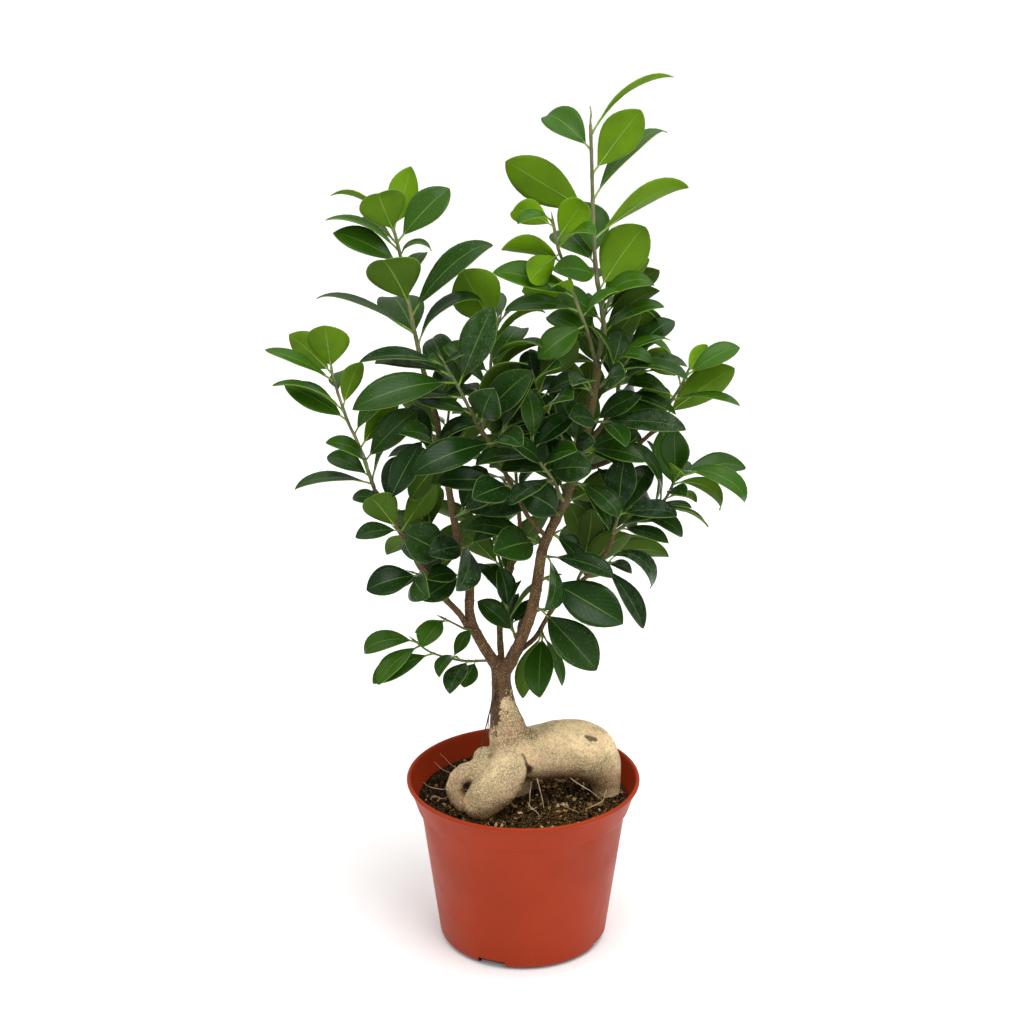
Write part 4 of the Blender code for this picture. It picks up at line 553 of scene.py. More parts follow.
def rule_leaf(heading, index, rng):
    """Heading and face of a leaf that follows the growth rule on a twig with this heading."""
    side = heading.orthogonal().normalized()
    turn = GOLDEN_ANGLE * index + rng.uniform(-RULE_STRAY, RULE_STRAY)
    radial = Matrix.Rotation(math.radians(turn), 3, heading) @ side
    spread = math.radians(rng.uniform(*RULE_SPREAD))
    course = heading * math.cos(spread) + radial * math.sin(spread)
    face = heading - course * heading.dot(course)
    return course.normalized(), face.normalized()


def leaf_tree(leaf, margin):
    """The space that a leaf's solid takes, with a margin, to test it against its neighbours."""
    sideways = leaf.face.cross(leaf.course)
    verts = []
    for share, breadth in [(STALK_SHARE, STALK_WIDTH / leaf.width)] + list(SOLID_OUTLINE):
        centre = (leaf.base + leaf.course * leaf.length * share
                  + leaf.face * leaf.length * leaf.arch * 4 * share * (1 - share))
        half = leaf.width * breadth / 2 + margin
        thick = SOLID_THICKNESS / 2 + margin
        lift = leaf.face * half * SOLID_FOLD
        verts += [centre - leaf.face * thick, centre + sideways * half + lift, centre + leaf.face * thick,
                  centre - sideways * half + lift]
    verts.append(leaf.base + leaf.course * (leaf.length + margin))
    faces = [(3, 2, 1, 0)]
    for ring in range(2):
        for corner in range(4):
            after = (corner + 1) % 4
            faces.append((ring * 4 + corner, ring * 4 + after, ring * 4 + 4 + after, ring * 4 + 4 + corner))
    for corner in range(4):
        faces.append((8 + corner, 8 + (corner + 1) % 4, 12))
    return BVHTree.FromPolygons(verts, faces)


class Leaf:
    """One leaf: where it grows on its twig and how it lies."""

    def __init__(self, share, base, course, face, length, width, arch):
        self.share = share
        self.base = base
        self.course = course
        self.face = face
        self.length = length
        self.width = width
        self.arch = arch


class Shoot:
    """A twig and the leaves that found room on it."""

    def __init__(self, name, radius, rule_count, path, noted):
        self.name = name
        self.radius = radius * MM
        self.rule_count = rule_count
        self.path = smooth_path(path, 3)
        self.noted = noted
        self.leaves = []
        self.missed = []
        self.foot = None
        self.foot_share = 0.0
        self.twig_tree = None
        self.core_tree = None

    def settle(self, wood, twigs):
        reached = reach_wood(self.path, self.radius, wood)
        self.foot = reached[0].copy()
        self.path = trim_start(reached, self.radius, wood + twigs)
        self.twig_tree = tube_tree(self.path, self.radius + SEAT_GAP, 6)
        self.core_tree = tube_tree(self.path, self.radius, 6)
        self.foot_share = (self.path[1] - self.path[0]).length / self.length()

    def length(self):
        return sum((b - a).length for a, b in zip(self.path, self.path[1:]))

    def free_place(self, share):
        """The nearest share of the twig that has no leaf yet."""
        room = min(1.3 * MM / self.length(), 0.9 / (len(self.noted) + self.rule_count + 1))
        edge = min(0.9 * MM / self.length(), 0.2)
        low = min(self.foot_share + edge, 0.5) if self.length() < LONG_TWIG else 2 * edge
        high = 1.0 - edge
        share = min(max(share, low), high)
        for offset in range(60):
            for sign in (1, -1):
                place = share + sign * offset * room / 4
                if low <= place <= high and all(abs(place - leaf.share) >= room for leaf in self.leaves):
                    return place
        return None


def stalk_tree(shoot, leaf):
    """The space of a leaf's stalk, from the side of its twig to where the blade starts."""
    start = leaf.base + leaf.course * shoot.radius * 1.3
    end = leaf.base + leaf.course * max(leaf.length * STALK_SHARE, shoot.radius * 1.3 + 0.3 * MM)
    return tube_tree([start, end], STALK_WIDTH / 2 + SEAT_GAP, 4)


def crown_clash(trees, shoot, shoots, wood, grown):
    others = wood + [other.twig_tree for other in shoots if other is not shoot] + grown
    return any(tree.overlap(other) for tree in trees for other in others)


def try_leaf(shoot, share, course_for, size, shoots, wood, grown, margin=LEAF_MARGIN):
    """Grows one leaf, turned aside in small steps where a neighbour is in its way."""
    length, width, arch = size
    share = shoot.free_place(share)
    if share is None:
        return False
    base, heading = along(shoot.path, share)
    for shrink in SHRINK_STEPS:
        for aside in ASIDE_STEPS:
            course, face = course_for(heading, aside)
            leaf = Leaf(share, base, course, face, length * shrink * MM, width * shrink * MM, arch)
            if leaf_tree(leaf, 0.0).overlap(shoot.core_tree):
                continue
            trees = [leaf_tree(leaf, margin), stalk_tree(shoot, leaf)]
            if not crown_clash(trees, shoot, shoots, wood, grown):
                grown += trees
                shoot.leaves.append(leaf)
                return True
    return False


def noted_course(seen, away, turn):
    """A rule for one noted leaf: its course and face when it is turned aside by so many degrees."""
    def course_for(_heading, aside):
        course = seen_direction(seen, away + aside)
        return course, seen_face(course, turn)
    return course_for


def ruled_course(state, index):
    """The same for a leaf that follows the growth rule: it turns aside round its twig."""
    def course_for(heading, aside):
        course, face = rule_leaf(heading, index, random.Random(state))
        turn = Matrix.Rotation(math.radians(aside * 1.5), 3, heading)
        return turn @ course, turn @ face
    return course_for


def grow_noted(shoots, wood, grown):
    """The leaves that have a place of their own."""
    for shoot in shoots:
        for share, seen, away, length, width, turn, arch in shoot.noted:
            course_for = noted_course(seen, away, turn)
            size = (length, width, arch)
            if not try_leaf(shoot, share, course_for, size, shoots, wood, grown):
                shoot.missed.append((share, course_for, size))


def grow_by_rule(shoots, wood, grown):
    """The leaves that simply follow the growth rule."""
    rng = random.Random(GROWTH_SEED)
    for shoot in shoots:
        for index in range(shoot.rule_count):
            state = rng.getrandbits(32)
            share = (index + 0.5) / shoot.rule_count
            course_for = ruled_course(state, index)
            size = (RULE_LENGTH * rng.uniform(0.85, 1.15), RULE_WIDTH, RULE_ARCH)
            if not try_leaf(shoot, share, course_for, size, shoots, wood, grown):
                shoot.missed.append((share, course_for, size))


def squeeze_in(shoots, wood, grown):
    """A leaf that had no room as a thick solid may still find it as a thin blade."""
    for shoot in shoots:
        for share, course_for, size in shoot.missed:
            try_leaf(shoot, share, course_for, size, shoots, wood, grown, margin=THIN_MARGIN)


def fill_in(shoots, wood, grown):
    """Smaller leaves between the others, which close the crown."""
    counts = {name: count for count, names in FILL_LEAVES.items() for name in names}
    rng = random.Random(GROWTH_SEED + 1)
    for shoot in shoots:
        for share, seen, away, length, width, turn, arch in FILL_NOTED.get(shoot.name, ()):
            course_for = noted_course(seen, away, turn)
            try_leaf(shoot, share, course_for, (length, width, arch), shoots, wood, grown, margin=THIN_MARGIN)
        count = counts.get(shoot.name, 0)
        for index in range(count):
            course_for = ruled_course(rng.getrandbits(32), index)
            size = (FILL_LENGTH * rng.uniform(0.8, 1.2), FILL_WIDTH, RULE_ARCH)
            try_leaf(shoot, (index + 0.5) / count, course_for, size, shoots, wood, grown, margin=THIN_MARGIN)


def grown_shoots():
    """All shoots with their leaves. The order matters: each leaf keeps clear of those before it."""
    wood = [node_tree_of("caudex")] + [node_tree_of(name) for name in STEMS]
    shoots = [Shoot(name, *row) for name, row in SHOOTS.items()]
    settled = []
    for shoot in shoots:
        shoot.settle(wood, [other.twig_tree for other in settled])
        settled.append(shoot)
    grown = []
    grow_noted(shoots, wood, grown)
    grow_by_rule(shoots, wood, grown)
    squeeze_in(shoots, wood, grown)
    fill_in(shoots, wood, grown)
    return shoots


# ---- Settings ----------------------------------------------------------------------------------------------

def colour_setting(name, description, default):
    return FloatVectorProperty(name=name, description=description, default=default, size=3, min=0.0, max=1.0,
                               subtype="COLOR")


def length_setting(name, description, default, largest=1.0):
    return FloatProperty(name=name, description=description, default=default, min=0.00001, max=largest,
                         precision=5, subtype="DISTANCE", unit="LENGTH")


def share_setting(name, description, default):
    return FloatProperty(name=name, description=description, default=default, min=0.0, max=1.0,
                         subtype="FACTOR")


def light_setting(name, description, default):
    return FloatProperty(name=name, description=description, default=default, min=0.0, max=10.0)


class PotSettings(bpy.types.PropertyGroup):
    segments: IntProperty(name="Segments", description="Flats round the pot", default=160, min=24, max=400)
    colour: colour_setting("Colour", "Outside of the moulded plastic", (0.325, 0.032, 0.0062))
    inside: colour_setting("Inside", "Shaded, dusty inside", (0.022, 0.0008, 0.0003))
    roughness: share_setting("Roughness", "How matt the plastic is", 0.42)


class SoilSettings(bpy.types.PropertyGroup):
    grains: IntProperty(name="Grains", description="Loose crumbs on top", default=1500, min=0, max=4000)
    grain_size: length_setting("Grain size", "Radius of a middling crumb", 0.75 * MM, 0.01)
    dark: colour_setting("Dark", "Moist compost", (0.0040, 0.0022, 0.0011))
    golden: colour_setting("Golden", "Fibres and bark crumbs", (0.50, 0.28, 0.09))


class WoodSettings(bpy.types.PropertyGroup):
    voxel: length_setting("Skin detail", "Edge of the mesh on the swollen root", 0.95 * MM, 0.01)
    skin: colour_setting("Skin", "Light skin of the swollen root", (0.98, 0.70, 0.395))
    # This colour also paints the shade on the root's underside, as well as its brown cracks and mottling.
    shade: colour_setting("Shade and stain", "Painted shade underneath; brown low down, in cracks and mottling", (0.20, 0.095, 0.038))
    bark: colour_setting("Bark", "Bark of neck and stems", (0.085, 0.043, 0.018))
    pores: colour_setting("Pores", "Pale pores on the bark", (0.42, 0.30, 0.17))


class LeafSettings(bpy.types.PropertyGroup):
    thickness: length_setting("Thickness", "Thickness of a blade", 0.38 * MM, 0.01)
    old: colour_setting("Old leaf", "Upper side of an old leaf", (0.0050, 0.0265, 0.0024))
    young: colour_setting("Young leaf", "Upper side of a young leaf", (0.040, 0.122, 0.0030))
    # The undersides' light greens hold painted light that passes through the leaf, over their own paler
    # green.
    old_under: colour_setting("Old underside", "Underside of an old leaf", (0.036, 0.072, 0.009))
    young_under: colour_setting("Young underside", "Underside of a young leaf", (0.135, 0.275, 0.0008))
    # The rim's pale line is partly a painted highlight.
    vein: colour_setting("Vein", "Midrib and rim", (0.22, 0.36, 0.07))
    gloss: share_setting("Roughness", "How matt the upper side is", 0.27)


class StageSettings(bpy.types.PropertyGroup):
    floor: colour_setting("Floor", "Pale floor", (0.95, 0.945, 0.935))
    floor_glow: share_setting("Floor glow", "Light that comes up through the pale floor", 0.06)
    floor_reach: length_setting("Floor reach", "Half the floor's width", 12.0, 50.0)
    zenith: light_setting("Overhead", "Tent light from straight above", 1.36)
    horizon: light_setting("Horizon", "Tent light from the sides", 0.0)
    softboxes: light_setting("Softboxes", "Power of the softboxes over their usual power", 1.0)
    lens: FloatProperty(name="Lens", description="Focal length on a 36 mm sensor", default=80.86, min=20.0,
                        max=200.0, subtype="DISTANCE_CAMERA")
    tilt: FloatProperty(name="Look down", description="Camera angle below level", default=math.radians(19.79),
                        min=0.0, max=1.5, subtype="ANGLE", unit="ROTATION")


class FicusSettings(bpy.types.PropertyGroup):
    pot: PointerProperty(type=PotSettings, name="Pot", description="Nursery pot")
    soil: PointerProperty(type=SoilSettings, name="Soil", description="Potting soil")
    wood: PointerProperty(type=WoodSettings, name="Wood", description="Swollen root and stems")
    leaves: PointerProperty(type=LeafSettings, name="Leaves", description="Leaves and twigs")
    stage: PointerProperty(type=StageSettings, name="Stage", description="Floor, light and camera")


# ---- Materials ---------------------------------------------------------------------------------------------

class Recipe:
    """A material under construction: every call adds one node and returns its output socket."""

    def __init__(self, name):
        self.material = bpy.data.materials.new(name)
        self.material.use_nodes = True
        self.tree = self.material.node_tree
        self.shader = self.tree.nodes["Principled BSDF"]

    def feed(self, socket, value):
        if isinstance(value, bpy.types.NodeSocket):
            self.tree.links.new(value, socket)
        elif hasattr(value, "__len__") and len(value) == 3 and len(socket.default_value) == 4:
            socket.default_value = (*value, 1.0)
        else:
            socket.default_value = value

    def node(self, kind, output, settings=(), **inputs):
        node = self.tree.nodes.new(kind)
        for key, value in dict(settings).items():
            setattr(node, key, value)
        for key, value in inputs.items():
            self.feed(node.inputs[key.replace("_", " ").title()], value)
        return node.outputs[output]

    def place(self, scale=(1, 1, 1), offset=(0, 0, 0), turn=(0, 0, 0)):
        """The point on the piece, in its own metres, stretched, shifted and turned for a pattern."""
        coords = self.node("ShaderNodeTexCoord", "Object")
        return self.node("ShaderNodeMapping", "Vector", {"vector_type": "POINT"}, vector=coords, scale=scale,
                         location=offset, rotation=turn)

    def height(self):
        """The height over the floor."""
        return self.node("ShaderNodeSeparateXYZ", "Z", vector=self.node("ShaderNodeTexCoord", "Object"))

    def facing(self):
        """How far the surface faces up: 1 on top, -1 underneath."""
        return self.node("ShaderNodeSeparateXYZ", "Z", vector=self.node("ShaderNodeTexCoord", "Normal"))

    def blade(self):
        """The two coordinates of a blade: across, from rim to rim, and along, from stalk to tip."""
        split = self.tree.nodes.new("ShaderNodeSeparateXYZ")
        self.tree.links.new(self.node("ShaderNodeTexCoord", "UV"), split.inputs["Vector"])
        return split.outputs["X"], split.outputs["Y"]

    def attribute(self, name):
        return self.node("ShaderNodeAttribute", "Fac", {"attribute_name": name})

    def noise(self, scale, detail=3.0, roughness=0.5, vector=None):
        return self.node("ShaderNodeTexNoise", "Fac", scale=scale, detail=detail, roughness=roughness,
                         vector=vector or self.place())

    def cells(self, scale, feature="F1", vector=None):
        return self.node("ShaderNodeTexVoronoi", "Distance", {"feature": feature}, scale=scale,
                         vector=vector or self.place())

    def span(self, value, low, high, out_low=0.0, out_high=1.0, smooth=True):
        """The value carried from one range to another, held at both ends."""
        node = self.tree.nodes.new("ShaderNodeMapRange")
        node.interpolation_type = "SMOOTHSTEP" if smooth else "LINEAR"
        self.feed(node.inputs["Value"], value)
        for name, number in zip(("From Min", "From Max", "To Min", "To Max"), (low, high, out_low, out_high)):
            node.inputs[name].default_value = number
        return node.outputs["Result"]

    def calc(self, operation, a, b=0.0, c=None):
        node = self.tree.nodes.new("ShaderNodeMath")
        node.operation = operation
        self.feed(node.inputs[0], a)
        self.feed(node.inputs[1], b)
        if c is not None:
            self.feed(node.inputs[2], c)
        return node.outputs[0]

    def plus(self, a, b):
        return self.calc("ADD", a, b)

    def minus(self, a, b):
        return self.calc("SUBTRACT", a, b)

    def times(self, a, b):
        return self.calc("MULTIPLY", a, b)

    def swing(self, value, reach):
        """A noise from 0 to 1, carried to both sides of zero."""
        return self.times(self.minus(value, 0.5), reach)

    def ragged_height(self, scale, reach):
        """The height, raised by a noise of up to the given reach."""
        return self.plus(self.height(), self.times(self.noise(scale), reach))

    def gap_to(self, spot):
        """The distance to a spot given in millimetres."""
        coords = self.node("ShaderNodeTexCoord", "Object")
        gap = self.node("ShaderNodeVectorMath", "Value", {"operation": "DISTANCE"}, vector=coords)
        gap.node.inputs[1].default_value = point(spot)
        return gap

    def near(self, spot, reach, softness=0.4):
        """1 close to a spot in millimetres, 0 beyond its reach, with a rough edge."""
        reach *= MM
        gap = self.plus(self.gap_to(spot), self.swing(self.noise(420.0, 3.0), reach * 0.9))
        return self.span(gap, reach * (1 - softness), reach * (1 + softness), 1.0, 0.0)

    def spots(self, colour, rows, softness=0.4):
        """A colour with spots on it, each given as its place, reach, shade and share."""
        for spot, reach, shade, share in rows:
            colour = self.mix(self.times(self.near(spot, reach, softness), share), colour, shade)
        return colour

    def mix(self, share, a, b):
        node = self.tree.nodes.new("ShaderNodeMix")
        node.data_type = "RGBA"
        self.feed(node.inputs[0], share)
        self.feed(node.inputs[6], a)
        self.feed(node.inputs[7], b)
        return node.outputs[2]

    def bump(self, height, depth, strength=1.0, below=None):
        node = self.tree.nodes.new("ShaderNodeBump")
        node.inputs["Strength"].default_value = strength
        node.inputs["Distance"].default_value = depth
        self.feed(node.inputs["Height"], height)
        if below is not None:
            self.feed(node.inputs["Normal"], below)
        return node.outputs["Normal"]

    def finish(self, colour, roughness, normal=None, **fixed):
        """Feeds the shader and hands over the material. Other sockets are set by name to fixed values."""
        self.feed(self.shader.inputs["Base Color"], colour)
        self.feed(self.shader.inputs["Roughness"], roughness)
        if normal is not None:
            self.feed(self.shader.inputs["Normal"], normal)
        for key, value in fixed.items():
            self.shader.inputs[key.replace("_", " ")].default_value = value
        return self.material


def shaded(colour, factor):
    return [min(1.0, part * factor) for part in colour]


def blended(a, b, share):
    """A colour that holds a share of the first and the rest of the second."""
    return [share * x + (1.0 - share) * y for x, y in zip(a, b)]


def pot_plastic(settings):
    """Satin moulded plastic: faint flow marks, upright scuffs, and a dusty inside darkened with painted
    shade, lighter towards the rim.
    """
    r = Recipe("pot plastic")
    cloud = r.noise(26.0, 4.0)
    scuffs = r.span(r.noise(90.0, 5.0, 0.65, vector=r.place(scale=(1, 1, 0.12))), 0.60, 0.78)
    radius = r.node("ShaderNodeVectorMath", "Value", {"operation": "LENGTH"}, vector=r.place(scale=(1, 1, 0)))
    middle_of_wall = r.calc("MULTIPLY_ADD", r.height(), WALL_FLARE, WALL_FOOT)
    inside = r.span(r.minus(radius, middle_of_wall), 0.0, -0.0008)
    body = r.mix(r.span(cloud, 0.3, 0.75), settings.colour, shaded(settings.colour, 1.16))
    body = r.mix(r.times(scuffs, 0.12), body, (0.50, 0.20, 0.12))
    dust = r.span(r.noise(150.0, 6.0, 0.7), 0.56, 0.72, 0.0, 0.28)
    # Painted shade inside the pot: the inner wall is far darker than the outside, darkest deep down and
    # lighter near the rim.
    lit = r.span(r.ragged_height(40.0, 0.006), 0.079, 0.091)
    inner = r.mix(lit, shaded(settings.inside, 0.10), shaded(settings.inside, 1.3))
    inner = r.mix(dust, inner, (0.040, 0.005, 0.002))
    # Darker still in a band just above the soil.
    darkening = r.span(r.ragged_height(70.0, 0.006), 0.0785, 0.0865, 0.75, 0.0)
    inner = r.mix(darkening, inner, (0.012, 0.003, 0.0015))
    colour = r.mix(inside, body, inner)
    rough = r.span(r.noise(60.0, 5.0), 0.2, 0.8, settings.roughness - 0.06, settings.roughness + 0.10)
    grain = r.bump(r.noise(1500.0, 2.0), 0.00003, 0.5)
    return r.finish(colour, rough, r.bump(scuffs, 0.00004, 0.4, grain), Specular_IOR_Level=0.11)


def potting_soil(settings):
    """Moist crumbs: near black in the gaps, golden where a fibre or a bit of bark catches the light."""
    r = Recipe("potting soil")
    crumbs = r.cells(1200.0)
    fine = r.noise(1500.0, 4.0, 0.7)
    brown = blended(settings.golden, settings.dark, 0.14)
    colour = r.mix(r.span(fine, 0.40, 0.65), settings.dark, brown)
    bits = r.times(r.span(crumbs, 0.18, 0.44, 1.0, 0.0), r.span(r.noise(420.0, 3.0), 0.36, 0.48))
    colour = r.mix(r.times(bits, 0.9), colour, settings.golden)
    # A darker patch on the soil round the hollow on the left.
    darkening = r.near((-36, 12, 77), 22.0, 0.6)
    colour = r.mix(r.times(darkening, 0.7), colour, (0.006, 0.005, 0.004))
    normal = r.bump(crumbs, 0.0012, 1.0, r.bump(fine, 0.0005, 0.8))
    return r.finish(colour, 0.9, normal, Specular_IOR_Level=0.08)


def soil_crumbs(settings):
    """Loose crumbs: each takes its own shade, from wet peat to straw."""
    r = Recipe("soil crumbs")
    own = r.attribute("shade")
    brown = blended(settings.golden, settings.dark, 0.16)
    colour = r.mix(r.span(own, 0.30, 0.62), settings.dark, brown)
    colour = r.mix(r.span(own, 0.60, 0.82), colour, settings.golden)
    colour = r.mix(r.span(own, 0.90, 0.97), colour, (0.66, 0.48, 0.24))
    colour = r.mix(r.span(r.noise(1400.0, 3.0), 0.3, 0.8, 0.0, 0.5), colour, settings.dark)
    return r.finish(colour, 0.85, r.bump(r.noise(1800.0, 3.0), 0.0003, 0.8), Specular_IOR_Level=0.12)


def pale_chips():
    """Bits of straw, bark and white grit."""
    r = Recipe("pale chips")
    own = r.attribute("shade")
    colour = r.mix(r.span(own, 0.3, 0.9), (0.42, 0.26, 0.11), (0.80, 0.72, 0.55))
    colour = r.mix(r.span(r.noise(900.0, 4.0), 0.35, 0.75, 0.0, 0.55), colour, (0.18, 0.10, 0.05))
    return r.finish(colour, 0.7, r.bump(r.noise(1300.0, 3.0), 0.0003, 0.8))


def root_hair():
    """Pale thin root."""
    r = Recipe("pale root")
    colour = r.mix(r.span(r.noise(260.0, 4.0), 0.35, 0.7), (0.62, 0.50, 0.31), (0.36, 0.22, 0.11))
    return r.finish(colour, 0.6, r.bump(r.noise(900.0, 3.0), 0.0001, 0.7))


def dark_root():
    """Dark hanging root."""
    r = Recipe("dark root")
    colour = r.mix(r.span(r.noise(300.0, 4.0), 0.4, 0.7), (0.045, 0.022, 0.014), (0.16, 0.085, 0.045))
    return r.finish(colour, 0.75, r.bump(r.noise(900.0, 3.0), 0.0002, 0.7))


def pores_on(r, scale, reach, patches, edges):
    """Round pores in patches, as a share from 0 to 1. Both ranges give where they fade."""
    dots = r.span(r.cells(scale), *reach, 1.0, 0.0)
    return r.times(dots, r.span(r.noise(patches, 3.0), *edges))


def bark_colours(r, settings):
    """Brown bark with upright streaks and pale pores. Returns its colour and its relief."""
    streaks = r.noise(190.0, 5.0, 0.65, vector=r.place(scale=(1, 1, 0.28)))
    pores = pores_on(r, 1250.0, (0.16, 0.50), 260.0, (0.30, 0.52))
    colour = r.mix(r.span(streaks, 0.34, 0.68), settings.bark, shaded(settings.bark, 2.0))
    colour = r.mix(r.span(r.noise(75.0, 3.0), 0.45, 0.75, 0.0, 0.6), colour, shaded(settings.bark, 0.45))
    colour = r.mix(r.times(pores, 0.80), colour, settings.pores)
    relief = r.plus(r.times(streaks, 0.7), r.times(pores, 0.6))
    return colour, relief


def stem_bark(settings):
    """Bark that turns olive where the stems are young, higher up."""
    r = Recipe("stem bark")
    colour, relief = bark_colours(r, settings)
    young = r.span(r.ragged_height(60.0, 0.04), 0.20, 0.32, 0.0, 0.62)
    colour = r.mix(young, colour, (0.135, 0.125, 0.045))
    return r.finish(colour, 0.78, r.bump(relief, 0.0005, 0.9), Specular_IOR_Level=0.2)


def skin_ground(r, settings, ground, fine, cracks):
    """Blotched tan skin, grainy and cracked, with painted shade underneath, and browner low down."""
    colour = r.mix(r.span(r.noise(48.0, 5.0, 0.6), 0.38, 0.62), ground, settings.skin)
    colour = r.mix(r.span(r.noise(30.0, 3.0), 0.50, 0.68, 0.0, 0.5), colour, (0.50, 0.30, 0.19))
    colour = r.mix(r.span(fine, 0.50, 0.68, 0.0, 0.62), colour, ground)
    colour = r.mix(r.times(cracks, 0.22), colour, settings.shade)
    # Painted shade: the skin turns brown where it faces down, away from the light.
    rise = r.plus(r.facing(), r.swing(fine, 0.9))
    colour = r.mix(r.times(r.span(rise, 0.25, -0.80), 0.66), colour, settings.shade)
    # Browner low down, near the soil.
    low = r.span(r.plus(r.height(), r.times(fine, 0.012)), 0.098, 0.081)
    return r.mix(r.times(low, 0.24), colour, settings.shade)


def skin_cracks(r):
    """Where the skin is cracked, as a share: a wide net with gaps in it."""
    net = r.cells(150.0, "DISTANCE_TO_EDGE", vector=r.place(turn=(0.3, 0.5, 0.0)))
    return r.times(r.span(net, 0.0, 0.05, 1.0, 0.0), r.span(r.noise(70.0, 2.0), 0.48, 0.60))


def skin_folds(r):
    """Folds round the curled root, as a share."""
    rings = r.node("ShaderNodeTexWave", "Fac", {"wave_type": "RINGS", "rings_direction": "SPHERICAL"},
                   scale=150.0, distortion=3.2, detail=3.0, vector=r.place(offset=-point(CURL_HOLLOW)))
    return r.times(r.span(rings, 0.25, 0.75), r.near((-11, -20, 90), 17.0, 0.5))


def skin_marks(r, settings, colour, dots):
    """Stains, the rough knob and a net of pale dots, then painted shade in the hollows, the knot and the
    pruning scar.
    """
    colour = r.spots(colour, STAINS)
    moss = r.span(r.noise(500.0, 4.0), 0.3, 0.7, 0.35, 0.95)
    colour = r.mix(r.times(r.near(ROUGH_KNOB, 5.4, 0.3), moss), colour, (0.46, 0.37, 0.22))
    mottle = r.span(r.noise(620.0, 3.0, 0.6), 0.46, 0.60)
    colour = r.mix(r.times(mottle, 0.25), colour, settings.shade)
    colour = r.mix(r.times(dots, 0.66), colour, shaded(settings.skin, 1.38))
    # Painted shade in the hollow of the curled root, along the crease and in the hollow by the knob.
    colour = r.spots(colour, HOLLOW_SHADE)
    ring = r.calc("ABSOLUTE", r.minus(r.gap_to(KNOT), 2.0 * MM))
    colour = r.mix(r.span(ring, 0.2 * MM, 0.8 * MM, 0.34, 0.0), colour, settings.shade)
    scars = [((x, y, z), reach, (0.135, 0.080, 0.042), 0.88) for x, y, z, reach in SCARS]
    return r.spots(colour, scars, 0.25)


def bark_share(r):
    """1 where the neck has bark, 0 where it has skin, with a ragged edge that runs lower on the left."""
    across = r.node("ShaderNodeSeparateXYZ", "X", vector=r.node("ShaderNodeTexCoord", "Object"))
    slope = r.times(r.plus(across, BARK_SLOPE_START * MM), BARK_SLOPE)
    slant = r.calc("MAXIMUM", r.calc("MINIMUM", slope, 0.0), -BARK_SLOPE_DEPTH * MM)
    edge = r.plus(r.height(), r.swing(r.noise(170.0, 5.0, 0.7), 0.046))
    edge = r.plus(edge, r.swing(r.noise(520.0, 3.0, 0.6), 0.022))
    return r.span(r.minus(edge, slant), (BARK_LINE - 1.5) * MM, (BARK_LINE + 1.5) * MM)


def caudex_skin(settings):
    """Tan root skin: a dense net of pale dots over brown, wrinkled, browner in folds; bark above it."""
    r = Recipe("caudex skin")
    dots = r.span(r.cells(1150.0), 0.16, 0.58, 1.0, 0.0)
    fine = r.noise(330.0, 5.0, 0.65)
    ground = shaded(settings.skin, 0.50)
    cracks = skin_cracks(r)
    folds = skin_folds(r)
    colour = skin_ground(r, settings, ground, fine, cracks)
    colour = r.mix(r.times(folds, 0.22), colour, ground)
    colour = skin_marks(r, settings, colour, dots)
    bark, relief = bark_colours(r, settings)
    barky = bark_share(r)
    colour = r.mix(barky, colour, bark)
    wrinkles = r.plus(r.plus(r.times(fine, 0.9), r.times(folds, 0.45)), r.times(dots, 0.28))
    wrinkles = r.minus(wrinkles, r.times(cracks, 0.5))
    relief = r.plus(r.times(relief, barky), wrinkles)
    return r.finish(colour, r.span(fine, 0.3, 0.7, 0.60, 0.82), r.bump(relief, 0.0008, 0.9),
                    Specular_IOR_Level=0.25)


def vein_share(r, rib_share, side_share):
    """How much of the vein colour a point on a blade takes: midrib, rim and faint side veins. The rim's pale
    line is partly the margin's own colour and partly a painted highlight.
    """
    across, along_blade = r.blade()
    off = r.calc("ABSOLUTE", r.minus(across, 0.5))
    rib_width = r.span(along_blade, 0.0, 1.0, 0.034, 0.008, smooth=False)
    beside = r.span(r.calc("DIVIDE", off, rib_width), 0.45, 1.0)
    rib = r.times(r.minus(1.0, beside), rib_share)
    # The pale rim: partly the margin's own paler green, partly a painted highlight where light catches the
    # edge.
    rim = r.times(r.span(off, 0.472, 0.490), rib_share * 0.8)
    ladder = r.calc("SINE", r.times(r.minus(along_blade, r.times(off, 0.62)), 88.0))
    side = r.times(r.span(ladder, 0.90, 1.0), side_share)
    return r.calc("MAXIMUM", r.calc("MAXIMUM", rib, rim), side)


